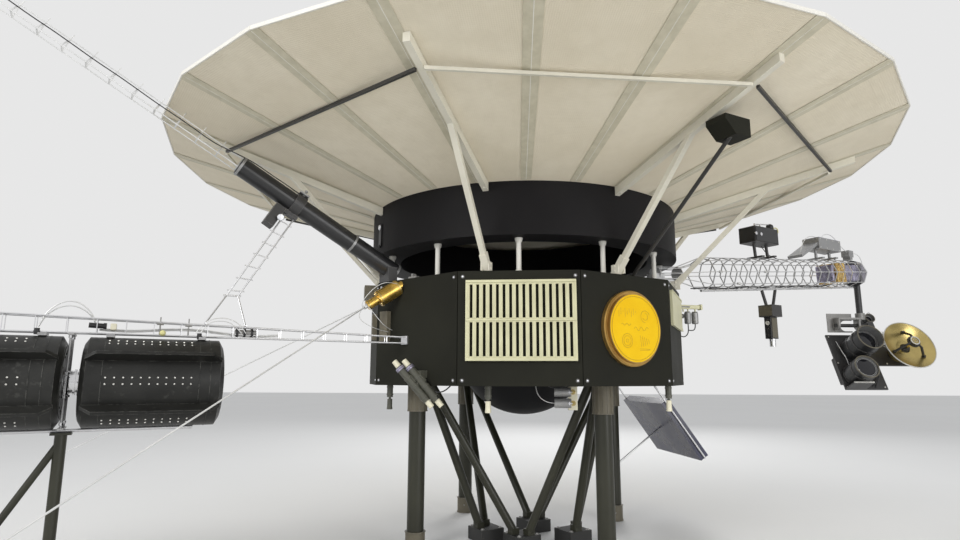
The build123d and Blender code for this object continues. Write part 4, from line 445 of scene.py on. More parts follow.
boom_wire = Finish("boom_wire")
x, y, z = boom_wire.axes()
from_post = (x - POST_AT.x) * (x - POST_AT.x) + (y - POST_AT.y) * (y - POST_AT.y)
on_post = from_post < POST_REACH * POST_REACH
boom_cloud = boom_wire.noise(20.0, 4.0).spread(0.3, 0.7)
wire_tone = boom_wire.mix(boom_cloud, (0.52, 0.52, 0.53), (0.68, 0.68, 0.68))
post_tone = boom_wire.mix(boom_cloud, (0.020, 0.020, 0.022), (0.034, 0.034, 0.036))
boom_tone = boom_wire.mix(on_post, wire_tone, post_tone)
boom_wire.set(Base_Color=boom_tone, Roughness=0.36 + boom_cloud * 0.1, Metallic=0.7 - on_post * 0.7,
              Normal=boom_wire.bump(boom_wire.noise(700.0, 2.0), 0.00006))
finishes["boom_wire"] = boom_wire

# %% Finishes of the small pieces
small_coats = {
    "knob_yellow": ((0.70, 0.66, 0.30), 0.40, 0.0, {"cloud": 0.08}),
    "nozzle_cream": ((0.72, 0.68, 0.52), 0.40, 0.1, {"cloud": 0.08}),
    "foil_lilac": ((0.34, 0.32, 0.42), 0.30, 0.7, {"cloud": 0.3, "cloud_scale": 30.0, "grain_scale": 60.0, "grain_depth": 0.004}),
    "can_gold": ((0.62, 0.40, 0.09), 0.30, 0.85, {"cloud": 0.25, "cloud_scale": 18.0, "grain_scale": 300.0}),
    "cable_black": ((0.012, 0.012, 0.013), 0.45, 0.0, {"cloud": 0.2}),
    "rivet_pale": ((0.62, 0.61, 0.57), 0.30, 0.6, {"cloud": 0.15}),
    "disc_line": ((0.34, 0.19, 0.03), 0.42, 0.5, {"cloud": 0.2}),
    "mirror_white": ((0.70, 0.71, 0.74), 0.25, 0.3, {"cloud": 0.1}),
}
for name, (colour, roughness, metallic, extra) in small_coats.items():
    finishes[name] = coat(name, colour, roughness, metallic, **extra)
print("finishes in all:", len(finishes))

# %% Assign the finishes
cad_finishes = {
    "body_frame": "board_black",
    "body_side_panels": "board_black",
    "louvre_panel": "louvre_cream",
    "golden_disc_base": "disc_rim",
    "golden_disc": "disc_gold",
    "tank_dome": "tank_black",
    "drum_pillars": "pillar_white",
    "equipment_drum": "drum_black",
    "dish_shell": "dish_cloth",
    "dish_ribs": "ivory_paint",
    "dish_cross_bars_pale": "ivory_paint",
    "dish_cross_bars_dark": "bar_black",
    "dish_struts": "ivory_paint",
    "feed_horn": "ivory_paint",
    "small_reflector": "ivory_paint",
    "small_reflector_tripod": "ivory_paint",
    "legs": "pipe_black",
    "leg_collars": "collar_grey",
    "floor_blocks": "block_black",
    "leg_struts": "pipe_black",
    "generator_boom": "wire_silver",
    "generator_1": "generator_black",
    "generator_2": "generator_black",
    "generator_3": "generator_black",
    "generator_couplings": "steel_bright",
    "generator_hangers": "case_grey",
    "generator_rail": "wire_silver",
    "generator_stand": "pipe_black",
    "mast_canister": "canister_black",
    "canister_clamps": "case_dark",
    "mast_lattice": "wire_white",
    "mast_sensors": "case_dark",
    "ladder_boom": "wire_silver",
    "ladder_sensor": "case_dark",
    "whip_cans": "can_gold",
    "whip_antennas": "wire_white",
    "science_boom": "boom_wire",
    "foil_box": "gold_foil",
    "upper_detector": "case_dark",
    "upper_telescope": "case_grey",
    "upper_small_box": "case_grey",
    "hanging_detector": "case_dark",
    "platform_yoke": "clamp_grey",
    "platform_frame": "case_dark",
    "narrow_camera": "canister_black",
    "wide_camera": "canister_black",
    "spectrometer": "canister_black",
    "platform_electronics": "case_dark",
    "platform_gold_dish": "brass_dark",
    "hanging_panel": "panel_blue",
    "hanging_panel_rods": "wire_silver",
    "wedge_sensor": "board_black",
    "wedge_sensor_pole": "bar_black",
    "down_thrusters": "thruster_olive",
    "under_body_pair": "case_grey",
    "twin_thrusters": "thruster_olive",
    "side_plate": "louvre_cream",
    "corner_thrusters": "clamp_grey",
    "left_side_fittings": "collar_grey",
}
for name, finish_name in cad_finishes.items():
    mesh = nodes[name].data
    if not mesh.materials:
        mesh.materials.append(None)
    for place in range(len(mesh.materials)):
        mesh.materials[place] = finishes[finish_name].material
missing = sorted(set(nodes) - set(cad_finishes))
print("CAD nodes without a finish:", missing)

# %% [markdown]
# ## Small pieces in mesh code
# Bolts, cables, tapes and trim are too small for the CAD model, so they are
# made here. Each starts from a bmesh shape that is turned or bevelled, aimed
# and placed, and then becomes an object that rides on one of three bodies.


def settle(name, piece, finish_name, body):
    """Links a piece, gives it its finish and lets it ride on a body."""
    piece.data.materials.append(finishes[finish_name].material)
    bpy.context.scene.collection.objects.link(piece)
    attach(piece, body)
    return piece


def finished(name, bm, finish_name, body="probe"):
    """Makes a piece of a bmesh."""
    mesh = bpy.data.meshes.new(name)
    bm.to_mesh(mesh)
    bm.free()
    print(name, "faces:", len(mesh.polygons))
    return settle(name, bpy.data.objects.new(name, mesh), finish_name, body)


def wires(name, runs, radius, finish_name, body="probe"):
    """Makes bent wires, each one smooth line along its points."""
    curve = bpy.data.curves.new(name, "CURVE")
    curve.dimensions = "3D"
    curve.bevel_depth = radius
    curve.bevel_resolution = 2
    curve.resolution_u = 8
    curve.use_fill_caps = True
    for points in runs:
        spline = curve.splines.new("NURBS")
        spline.points.add(len(points) - 1)
        for point, place in zip(spline.points, points):
            point.co = (*place, 1.0)
        spline.order_u = min(3, len(points))
        spline.use_endpoint_u = True
    print(name, "wires:", len(runs))
    return settle(name, bpy.data.objects.new(name, curve), finish_name, body)


# %% Rods, blocks and turned shapes
def aimed(place, way):
    """A matrix that puts the origin at a place and turns Z along a way."""
    return Matrix.Translation(place) @ Vector(way).to_track_quat("Z", "Y").to_matrix().to_4x4()


def framed(place, along, up):
    """A matrix with X along one way and Z up another."""
    x_way = Vector(along).normalized()
    z_way = Vector(up).normalized()
    y_way = z_way.cross(x_way)
    return Matrix.Translation(place) @ Matrix((x_way, y_way, z_way)).transposed().to_4x4()


def rod(bm, start, end, radius, sides=12, tip=None):
    """Adds a round rod between two points, tapered where tip is given."""
    start, end = Vector(start), Vector(end)
    made = bmesh.ops.create_cone(
        bm, cap_ends=True, segments=sides, radius1=radius,
        radius2=radius if tip is None else tip, depth=(end - start).length,
    )
    bmesh.ops.transform(bm, matrix=aimed((start + end) / 2, end - start), verts=made["verts"])


def joined(bm, shape, matrix):
    """Moves a small bmesh into place and adds it to a larger one."""
    mesh = bpy.data.meshes.new("joined")
    shape.transform(matrix)
    shape.to_mesh(mesh)
    shape.free()
    bm.from_mesh(mesh)
    bpy.data.meshes.remove(mesh)


def slab(bm, place, size, along, up, bevel=0.0):
    """Adds a block with softened edges."""
    block = bmesh.new()
    bmesh.ops.create_cube(block, size=1.0)
    bmesh.ops.scale(block, vec=size, verts=block.verts[:])
    if bevel:
        bmesh.ops.bevel(
            block, geom=block.edges[:], offset=bevel, offset_type="OFFSET", segments=2,
            profile=0.5, material=-1, affect="EDGES",
        )
    joined(bm, block, framed(place, along, up))


def turned(bm, outline, place, way, steps=24):
    """Adds a shape spun from (radius, height) pairs about a way from a place."""
    shape = bmesh.new()
    verts = [shape.verts.new((radius, 0.0, height)) for radius, height in outline]
    edges = [shape.edges.new(pair) for pair in zip(verts, verts[1:])]
    bmesh.ops.spin(
        shape, geom=verts + edges, cent=(0.0, 0.0, 0.0), axis=(0.0, 0.0, 1.0),
        angle=2 * pi, steps=steps, use_merge=True,
    )
    bmesh.ops.remove_doubles(shape, verts=shape.verts[:], dist=1e-6)
    bmesh.ops.recalc_face_normals(shape, faces=shape.faces[:])
    joined(bm, shape, aimed(place, way))


def heading(azimuth, rise=0.0):
    """The unit vector along an azimuth, in degrees, that rises by an angle."""
    flat = cos(radians(rise))
    return Vector((flat * cos(radians(azimuth)), flat * sin(radians(azimuth)), sin(radians(rise))))


print("piece tools ready")

# %% [markdown]
# ## Seam tapes on the dish
# The cloth of each gore is taped to the next one. A tape is a narrow strip that
# folds over the seam, so it starts as a grid, and each of its points is set on
# the gore that it lies on. One strip is then spun into all of them.

# %% Tapes, wires along the seams and the rim's edging
DISH_SLOPE_START = 0.8271
DISH_SLOPE_START_Z = 1.633
DISH_EDGE = 1.830
DISH_RISE = 0.273
DISH_SHEET = 0.008
TAPE_WIDTHS = (0.045, 0.066)
TAPE_THICKNESS = 0.0012
HALF_GORE = pi / DISH_SIDES
SEAM_LINE_RADIUS = 0.0016


def dish_height(radius, off_seam):
    """Height of the dish's underside, by the radius and the angle off a seam."""
    reach = radius * cos(HALF_GORE - abs(off_seam)) / cos(HALF_GORE)
    return DISH_SLOPE_START_Z + (reach - DISH_SLOPE_START) * DISH_RISE / (DISH_EDGE - DISH_SLOPE_START)


def seam_strip(bm, lift, start, end, widths, across_from=-1.0, across_to=1.0):
    """Adds a strip along the first seam, lifted off the dish's underside."""
    grid = bmesh.ops.create_grid(bm, x_segments=10, y_segments=4, size=1.0)
    for vert in grid["verts"]:
        share = (vert.co.x + 1.0) / 2
        radius = start + (end - start) * share
        side = across_from + (across_to - across_from) * (vert.co.y + 1.0) / 2
        off_seam = side * (widths[0] + (widths[1] - widths[0]) * share) / 2 / radius
        turn_to = radians(RIB_AZIMUTH) + off_seam
        place = (radius * cos(turn_to), radius * sin(turn_to), dish_height(radius, off_seam) + lift)
        vert.co = place
    faces = list({face for vert in grid["verts"] for face in vert.link_faces})
    return faces


def round_the_dish(bm):
    """Copies what is in a bmesh to every seam of the dish."""
    bmesh.ops.spin(
        bm, geom=bm.verts[:] + bm.edges[:] + bm.faces[:], cent=(0.0, 0.0, 0.0), axis=(0.0, 0.0, 1.0),
        angle=2 * pi - 2 * HALF_GORE, steps=DISH_SIDES - 1, use_duplicate=True,
    )


for face_name, lift in (("under", -TAPE_THICKNESS * 1.2), ("upper", DISH_SHEET + TAPE_THICKNESS * 0.2)):
    bm = bmesh.new()
    strip = seam_strip(bm, lift, 0.831, 1.826, TAPE_WIDTHS)
    bmesh.ops.solidify(bm, geom=strip, thickness=TAPE_THICKNESS)
    bmesh.ops.recalc_face_normals(bm, faces=bm.faces[:])
    round_the_dish(bm)
    finished(f"seam_tapes_{face_name}", bm, "seam_tape")

bm = bmesh.new()
seam_way = heading(RIB_AZIMUTH)
line_ends = [
    seam_way * radius + Vector((0.0, 0.0, dish_height(radius, 0.0) - TAPE_THICKNESS * 1.4))
    for radius in (0.835, 1.824)
]
rod(bm, *line_ends, SEAM_LINE_RADIUS, sides=6)
round_the_dish(bm)
finished("seam_lines", bm, "pillar_white")

bm = bmesh.new()
edge_from = heading(RIB_AZIMUTH) * (DISH_EDGE - 0.001)
edge_to = heading(RIB_AZIMUTH + 360.0 / DISH_SIDES) * (DISH_EDGE - 0.001)
edge_up = Vector((0.0, 0.0, DISH_SLOPE_START_Z + DISH_RISE + DISH_SHEET / 2))
slab(bm, (edge_from + edge_to) / 2 + edge_up, ((edge_to - edge_from).length, 0.006, 0.015),
     edge_to - edge_from, (0.0, 0.0, 1.0), 0.0015)
round_the_dish(bm)
finished("rim_edging", bm, "pillar_white")

# %% Screws at the ribs' roots and brackets on the struts' sockets
bm = bmesh.new()
for k in range(8):
    rib_way = heading(RIB_AZIMUTH + 45.0 * k)
    rib_across = heading(RIB_AZIMUTH + 45.0 * k + 90.0)
    rib_shift = rib_across * (0.038 if k == 7 else 0.0)
    for reach, drop in ((0.845, 0.046), (0.872, 0.040)):
        screw_z = DISH_SLOPE_START_Z + (reach - DISH_SLOPE_START) * 0.272 - drop + 0.008
        place = rib_way * reach + rib_shift + Vector((0.0, 0.0, screw_z))
        turned(bm, ((0.0, 0.0045), (0.005, 0.0035), (0.0065, 0.0), (0.0, 0.0)), place, (0.0, 0.0, -1.0), 10)
    for hand in (-1.0, 1.0):
        place = rib_way * 0.806 + rib_shift + rib_across * (hand * 0.0175) + Vector((0.0, 0.0, 1.261))
        slab(bm, place, (0.048, 0.004, 0.040), rib_way, (0.0, 0.0, 1.0), 0.0012)
        for bolt_rise in (-0.010, 0.012):
            head = place + rib_across * (hand * 0.002) + Vector((0.0, 0.0, bolt_rise))
            turned(bm, ((0.0, 0.004), (0.004, 0.003), (0.005, 0.0), (0.0, 0.0)), head, rib_across * hand, 8)
finished("rib_screws_and_brackets", bm, "ivory_paint")

# %% [markdown]
# ## Places on the large forms
# A small piece is easiest to place in the terms of the form that carries it:
# along a boom and across it, or along a side of the body and up. These
# functions turn such terms into points, with the sizes of the CAD model.

# %% Places on the body, the booms and the platform
BOOM_SIDE = -126.0
LOUVRE_SIDE = -90.0
PLATE_SIDE = -18.0
CORNER_SIDE = 18.0
UP = Vector((0.0, 0.0, 1.0))
BOOM_WAY = heading(213.7)
BOOM_ACROSS = heading(303.7)
MAST_WAY = heading(217.7, 28.2)
MAST_UP = heading(217.7, 118.2)
CAGE_WAY = heading(36.8, 5.2)
CAGE_UP = heading(36.8, 95.2)
CAGE_FLAT = heading(36.8)
CAGE_ACROSS = heading(126.8)
AXLE_AT = Vector((2.28982, 1.06239, 1.150))
AXLE_WAY = heading(8.0)
AIM = heading(-82.0, 25.0)
LIFT = heading(-82.0, 115.0)


def side_place(side, along, height, out=0.0):
    """A point on a side of the body: along it, at a height, and out from it."""
    return heading(side) * (BODY_FLAT + out) + heading(side + 90.0) * along + UP * height


def boom_place(station, across=0.0, height=0.0):
    """A point on the generator boom, across and above its lower face."""
    return side_place(BOOM_SIDE, -0.062, 0.945) + BOOM_WAY * station + BOOM_ACROSS * across + UP * height


def boom_top(station):
    """The boom's width and height at a station."""
    return 0.026 + 0.034 * min(station / 1.5, 1.0)


def mast_place(station, up=0.0, across=0.0):
    """A point beside the axis of the canister and the mast."""
    return Vector((-0.575, -0.450, 1.270)) + MAST_WAY * station + MAST_UP * up + heading(307.7) * across


def cage_place(station, up=0.0, across=0.0):
    """A point beside the axis of the science boom."""
    return Vector((0.990, 0.090, 1.362)) + CAGE_WAY * station + CAGE_UP * up + CAGE_ACROSS * across


def platform_place(along, up, ahead):
    """A point on the platform: along the axle, up from it and ahead of it."""
    return AXLE_AT + AXLE_WAY * along + LIFT * up + AIM * ahead


def screw(bm, place, way, radius=0.005, sides=8):
    """Adds a screw's low domed head."""
    outline = ((0.0, radius * 0.7), (radius * 0.7, radius * 0.55), (radius, 0.0), (0.0, 0.0))
    turned(bm, outline, place, way, sides)


def ring(bm, inner, outer, thickness, place, way, steps=40):
    """Adds a flat ring that stands on a place."""
    outline = ((inner, 0.0), (outer, 0.0), (outer, thickness), (inner, thickness), (inner, 0.0))
    turned(bm, outline, place, way, steps)


def circle_points(place, way, radius, start=0.0, sweep=360.0, count=24):
    """Points round an arc about a way from a place."""
    turn = aimed(place, way)
    angles = [radians(start + sweep * k / count) for k in range(count + 1)]
    return [turn @ Vector((radius * cos(a), radius * sin(a), 0.0)) for a in angles]


print("places ready")

# %% [markdown]
# ## The generators and their boom
# Each generator is a finned drum with raised bands round its ends and rows of
# pale rivets between its fins. Cables run along the boom, held by small clips,
# and arch over the gap between two generators.

# %% Rivets, bands and end bolts of the generators
GEN_STARTS = (0.772, 1.282, 1.792)
GEN_LENGTH = 0.455
GEN_AXIS = -0.173
GEN_RADIUS = 0.160
RIVET_FIRST = 0.112
RIVET_PITCH = 0.0267
RIVET_COLUMNS = 11
RIVET_ROW_TURNS = [60.0 * k + 2.0 + half for k in range(6) for half in (-4.0, 4.0)]
BAND_STATIONS = (0.047, 0.083, 0.390)


def boom_out(angle):
    """The way out from a generator's axis, by its angle above the front."""
    return BOOM_ACROSS * cos(radians(angle)) + UP * sin(radians(angle))


bm = bmesh.new()
for start in GEN_STARTS:
    for column in range(RIVET_COLUMNS):
        for turn_to in RIVET_ROW_TURNS:
            out = boom_out(turn_to)
            place = boom_place(start + RIVET_FIRST + RIVET_PITCH * column, 0.0, GEN_AXIS) + out * GEN_RADIUS
            screw(bm, place - out * 0.0004, out, 0.0036, 7)
finished("generator_rivets", bm, "rivet_pale")

bm = bmesh.new()
for start in GEN_STARTS:
    for station in BAND_STATIONS:
        ring(bm, GEN_RADIUS - 0.002, GEN_RADIUS + 0.0012, 0.0022, boom_place(start + station, 0.0, GEN_AXIS), BOOM_WAY, 64)
    for station, way in ((0.0, -BOOM_WAY), (GEN_LENGTH, BOOM_WAY)):
        middle = boom_place(start + station, 0.0, GEN_AXIS)
        ring(bm, 0.112, 0.124, 0.003, middle - way * 0.0005, way, 48)
        for k in range(12):
            screw(bm, middle + boom_out(30.0 * k) * 0.099, way, 0.0055, 6)
finished("generator_bands", bm, "generator_black")

# %% Coupling rings, turnbuckles and the rail's clips
bm = bmesh.new()
for start in GEN_STARTS[:-1]:
    for station, width in ((0.456, 0.008), (0.472, 0.006), (0.501, 0.008)):
        ring(bm, 0.040, 0.0455, width, boom_place(start + station, 0.0, GEN_AXIS), BOOM_WAY, 32)
    stay = start + GEN_LENGTH / 2 + 0.255 + 0.016
    for k in range(8):
        place = boom_place(start + 0.464, 0.0, GEN_AXIS) + boom_out(45.0 * k) * 0.044
        screw(bm, place, BOOM_WAY, 0.004, 6)
    for across in (-0.052, 0.052):
        rod(bm, boom_place(stay, across, -0.215), boom_place(stay, across, -0.150), 0.0075, sides=6)
        for height in (-0.222, -0.143):
            rod(bm, boom_place(stay, across, height - 0.004), boom_place(stay, across, height + 0.004), 0.0085, sides=6)
        for height in (-0.318, -0.020):
            rod(bm, boom_place(stay, across, height), boom_place(stay, across, height + 0.010), 0.0065, sides=6)
finished("coupling_rings_and_turnbuckles", bm, "steel_bright")

# %% Cables along the boom
ARCH_START = 1.372
ARCH_END = 1.196


def arch(across_from, across_to, peak):
    """A cable that rises from the boom's top and comes down at another station."""
    top = boom_top(ARCH_START)
    points = []
    for k in range(13):
        share = k / 12
        height = top - 0.040 + (peak + 0.040) * sin(pi * share) ** 0.6
        station = ARCH_START + (ARCH_END - ARCH_START) * share
        points.append(boom_place(station, across_from + (across_to - across_from) * share, height))
    return points


cable_runs = [arch(0.018, 0.004, 0.056), arch(0.014, -0.004, 0.040)]
for across, dip in ((0.010, 0.0), (0.002, 0.006), (-0.006, 0.002)):
    stations = (1.190, 1.150, 1.080, 1.010, 0.940, 0.860, 0.780, 0.700, 0.620, 0.560)
    cable_runs.append([
        boom_place(s, across + 0.004 * sin(9.0 * s), boom_top(s) * 0.45 + 0.008 * cos(14.0 * s) - dip)
        for s in stations
    ])
wires("boom_cables", cable_runs, 0.0022, "wire_white")

knee_runs = []
for shift, peak in ((0.0, 0.052), (0.016, 0.040)):
    knee_runs.append([
        boom_place(0.872 - shift, 0.026, 0.012),
        boom_place(0.860 - shift, 0.024, 0.034),
        boom_place(0.820, 0.018, peak + 0.020),
        boom_place(0.760, 0.014, peak + 0.026),
        boom_place(0.706 + shift, 0.020, peak - 0.002),
        boom_place(0.690 + shift, 0.024, 0.018),
    ])
wires("boom_loops", knee_runs, 0.0018, "wire_white")

# %% Clips, a connector and a yellow knob on the boom
bm = bmesh.new()
for station in (0.858, 1.373, 1.883):
    top = boom_top(station)
    rod(bm, boom_place(station, top / 2, -0.010), boom_place(station, top / 2, 0.012), 0.0085, sides=16)
    rod(bm, boom_place(station, top / 2, -0.003), boom_place(station, top / 2, 0.003), 0.0105, sides=16)
rod(bm, boom_place(1.176, 0.004, 0.028), boom_place(1.224, 0.006, 0.030), 0.0095, sides=14)
rod(bm, boom_place(1.168, 0.004, 0.028), boom_place(1.178, 0.004, 0.028), 0.0115, sides=14)
for station in (0.660, 0.688, 0.716):
    top = boom_top(station)
    ring(bm, top * 0.34, top * 0.34 + 0.004, 0.008, boom_place(station, 0.0, top / 2), BOOM_WAY, 20)
finished("boom_clips_dark", bm, "cable_black")

bm = bmesh.new()
slab(bm, boom_place(1.146, 0.004, 0.026), (0.020, 0.034, 0.024), BOOM_WAY, UP, 0.003)
finished("boom_clamp_pale", bm, "nozzle_cream")

bm = bmesh.new()
knob_at = boom_place(0.985, boom_top(0.985) / 2 + 0.004, 0.008)
turned(bm, ((0.0, 0.016), (0.006, 0.015), (0.010, 0.011), (0.011, 0.005), (0.009, 0.0), (0.0, 0.0)), knob_at, BOOM_ACROSS, 20)
finished("boom_knob", bm, "knob_yellow")

bm = bmesh.new()
for station in (0.898, 0.995):
    top = boom_top(station)
    rod(bm, boom_place(station, top / 2, top), boom_place(station, top / 2, top + 0.020), 0.0022, sides=8)
    rod(bm, boom_place(station - 0.012, top / 2, top - 0.006), boom_place(station + 0.012, top / 2, top - 0.006), 0.0045, sides=10)
    rod(bm, boom_place(station, top / 2, -0.002), boom_place(station, top / 2, top), 0.0028, sides=8)
sleeve_at = 0.688
rod(bm, boom_place(0.648, 0.0, boom_top(sleeve_at) / 2), boom_place(0.728, 0.0, boom_top(sleeve_at) / 2), 0.0125, sides=20)
finished("boom_pins_and_sleeve", bm, "clamp_grey")

# %% [markdown]
# ## The ladder, the canister and the mast
# The canister that the mast comes out of has a clamp with a screwed bridge, and
# a black cable that runs up beside the mast. Each frame of the mast has a pin
# that stands out past the upper wire.

# %% Clamp bridge, mast pins and the joint between two lengths of mast
bm = bmesh.new()
for across in (-0.020, 0.020):
    rod(bm, mast_place(0.605, 0.045, across), mast_place(0.605, 0.078, across), 0.0042, sides=8)
    rod(bm, mast_place(0.605, 0.070, across), mast_place(0.605, 0.076, across), 0.0075, sides=6)
slab(bm, mast_place(0.605, 0.056, 0.0), (0.046, 0.064, 0.008), MAST_WAY, MAST_UP, 0.002)
for station in (0.050, 0.300, 0.890):
    ring(bm, 0.0405, 0.0445, 0.010, mast_place(station - 0.005), MAST_WAY, 40)
finished("canister_bands", bm, "case_grey")

bm = bmesh.new()
MAST_BAY = 0.094
for k in range(1, 36):
    station = 0.900 + MAST_BAY * k + 0.002
    rod(bm, mast_place(station, 0.020, 0.0), mast_place(station, 0.058, 0.0), 0.0017, sides=6)
finished("mast_pins", bm, "wire_white")

bm = bmesh.new()
joint_at = 0.900 + MAST_BAY * 12 + 0.030
for k in range(3):
    out = MAST_UP * cos(radians(120.0 * k)) + heading(307.7) * sin(radians(120.0 * k))
    place = mast_place(joint_at) + out * 0.034
    rod(bm, place - MAST_WAY * 0.018, place + MAST_WAY * 0.018, 0.0075, sides=12)
    rod(bm, place - MAST_WAY * 0.006, place + MAST_WAY * 0.006, 0.0105, sides=6)
finished("mast_joint", bm, "nozzle_cream")

mast_cable = [mast_place(0.60 + 0.085 * k, 0.044 - 0.030 * min(max((k - 3.0) / 2.0, 0.0), 1.0), 0.020 + 0.004 * sin(2.1 * k))
              for k in range(36)]
wires("mast_cable", [mast_cable], 0.0024, "cable_black")

# %% Ladder sensor's disc and the whip can's wires
bm = bmesh.new()
sensor_place = mast_place(0.640, -0.108, 0.052)
turned(bm, ((0.0, 0.006), (0.012, 0.0055), (0.0145, 0.003), (0.0145, 0.0), (0.0, 0.0)), sensor_place, heading(300.0, -8.0), 24)
finished("ladder_sensor_disc", bm, "mirror_white")

whip_way = heading(205.0, -33.0)
whip_middle = Vector((-0.606, -0.604, 1.176))
bm = bmesh.new()
for reach in (-0.050, 0.046):
    ring(bm, 0.036, 0.0395, 0.006, whip_middle + whip_way * (reach - 0.003), whip_way, 40)
ring(bm, 0.0205, 0.0245, 0.006, whip_middle + whip_way * 0.105, whip_way, 32)
for k in range(6):
    out = aimed((0.0, 0.0, 0.0), whip_way).to_3x3() @ Vector((cos(pi / 3 * k), sin(pi / 3 * k), 0.0))
    screw(bm, whip_middle + whip_way * 0.0555 + out * 0.030, whip_way, 0.004, 6)
finished("whip_can_rings", bm, "brass_dark")

whip_loops = [
    [(-0.700, -0.672, 1.108), (-0.722, -0.690, 1.072), (-0.705, -0.700, 1.040), (-0.668, -0.692, 1.018),
     (-0.640, -0.664, 1.006), (-0.618, -0.622, 1.000), (-0.606, -0.592, 0.998)],
    [(-0.694, -0.664, 1.118), (-0.680, -0.690, 1.108), (-0.648, -0.694, 1.074), (-0.616, -0.672, 1.030),
     (-0.596, -0.618, 1.010), (-0.586, -0.600, 1.006)],
    [(-0.560, -0.618, 1.215), (-0.590, -0.664, 1.222), (-0.640, -0.684, 1.202), (-0.690, -0.690, 1.150),
     (-0.712, -0.682, 1.112), (-0.706, -0.668, 1.102)],
]
wires("whip_can_wires", whip_loops, 0.0015, "wire_white")

# %% [markdown]
# ## The body
# Ten flat panels close the body, each held by a pale screw near every corner.
# The louvres are strips of sheet folded along a ridge, set side by side.

# %% Screws of the side panels
BODY_SIDE_LENGTH = 2 * 0.843 * sin(radians(18.0))
bm = bmesh.new()
for k in range(10):
    side = LOUVRE_SIDE + 36.0 * k
    for along in (-BODY_SIDE_LENGTH / 2 + 0.022, BODY_SIDE_LENGTH / 2 - 0.022):
        for height in (0.780, 1.217):
            place = side_place(side, along, height)
            screw(bm, place, heading(side), 0.0052, 12)
finished("panel_screws", bm, "mirror_white")

bm = bmesh.new()
for k in range(10):
    side = LOUVRE_SIDE + 36.0 * k
    for along in (-BODY_SIDE_LENGTH / 2 + 0.022, BODY_SIDE_LENGTH / 2 - 0.022):
        for height in (0.780, 1.217):
            ring(bm, 0.004, 0.0085, 0.0012, side_place(side, along, height, -0.0002), heading(side), 16)
finished("panel_washers", bm, "case_dark")

# %% Louvre strips and their frame
LOUVRE_CENTRE = 0.008
LOUVRE_Z = 1.030
LOUVRE_OUT = 0.014
LOUVRE_PITCH = 0.0278
bm = bmesh.new()
for row in (-1.0, 1.0):
    for k in range(17):
        along = LOUVRE_CENTRE + (k - 8.0) * LOUVRE_PITCH
        wide = 0.0145 if 0 < k < 16 else 0.0085
        shift = 0.003 if k == 0 else (-0.003 if k == 16 else 0.0)
        place = side_place(LOUVRE_SIDE, along + shift, LOUVRE_Z + row * 0.080, LOUVRE_OUT + 0.0010)
        slab(bm, place, (wide, 0.150, 0.0026), heading(0.0), heading(LOUVRE_SIDE), 0.0009)
        ridge_at = side_place(LOUVRE_SIDE, along + shift, LOUVRE_Z + row * 0.080, LOUVRE_OUT + 0.0030)
        slab(bm, ridge_at, (0.0030, 0.146, 0.0020), heading(0.0), heading(LOUVRE_SIDE), 0.0007)
for height, tall in ((LOUVRE_Z + 0.164, 0.011), (LOUVRE_Z - 0.164, 0.011), (LOUVRE_Z, 0.008)):
    place = side_place(LOUVRE_SIDE, LOUVRE_CENTRE, height, LOUVRE_OUT + 0.0022)
    slab(bm, place, (0.463, tall, 0.0050), heading(0.0), heading(LOUVRE_SIDE), 0.0012)
finished("louvre_strips", bm, "louvre_cream")

# %% Feet and heads of the drum's pillars
bm = bmesh.new()
for k in range(12):
    foot = heading(30.0 * k) * 0.745 + UP * 1.241
    turned(bm, ((0.011, 0.0), (0.0175, 0.0), (0.0175, 0.005), (0.0130, 0.012), (0.011, 0.012), (0.011, 0.0)), foot, UP, 24)
    head = foot + UP * 0.154
    turned(bm, ((0.011, 0.0), (0.0175, 0.0), (0.0175, 0.006), (0.0145, 0.018), (0.011, 0.018), (0.011, 0.0)), head, -UP, 24)
finished("pillar_flanges", bm, "pillar_white")

# %% Rings and scribed lines of the golden disc
DISC_AXIS_AT = side_place(DISC_SIDE, DISC_SHIFT, DISC_CENTRE_Z)
DISC_FACE = 0.036
DISC_RIGHT = heading(DISC_SIDE + 90.0)


def disc_place(right, up, out=DISC_FACE):
    """A point on the disc's face."""
    return DISC_AXIS_AT + DISC_RIGHT * right + UP * up + disc_out * out


bm = bmesh.new()
ring(bm, 0.1455, 0.1495, 0.014, disc_place(0.0, 0.0, 0.0220), disc_out, 96)
ring(bm, 0.1565, 0.1600, 0.003, disc_place(0.0, 0.0, 0.0215), disc_out, 96)
finished("disc_rings", bm, "disc_rim")

bm = bmesh.new()
for reach in (0.138, 0.136):
    ring(bm, reach, reach + 0.0007, 0.0006, disc_place(0.0, 0.0, DISC_FACE - 0.0001), disc_out, 96)
finished("disc_grooves", bm, "disc_line")

motifs = [circle_points(disc_place(-0.052, -0.055), disc_out, radius) for radius in (0.030, 0.021, 0.007)]
motifs += [circle_points(disc_place(0.058, 0.052), disc_out, 0.026, 20.0, 250.0)]
motifs += [circle_points(disc_place(0.058, 0.052), disc_out, 0.015, 200.0, 250.0)]
for k in range(9):
    along = -0.096 + 0.012 * k
    motifs.append([disc_place(along, 0.046 + 0.010 * (k % 3)), disc_place(along, 0.074 + 0.010 * (k % 2))])
for k in range(5):
    motifs.append([disc_place(0.024 + 0.012 * k, -0.030 - 0.004 * k), disc_place(0.030 + 0.012 * k, -0.082 + 0.004 * k)])
motifs.append([disc_place(-0.010 + 0.007 * k, -0.002 + 0.010 * sin(1.3 * k)) for k in range(13)])
motifs.append([disc_place(-0.084 + 0.007 * k, 0.014 + 0.006 * sin(1.7 * k)) for k in range(9)])
motifs.append([disc_place(0.020, -0.094), disc_place(0.080, -0.094), disc_place(0.080, -0.088), disc_place(0.020, -0.088)])
wires("disc_scribed_lines", motifs, 0.0007, "disc_line")

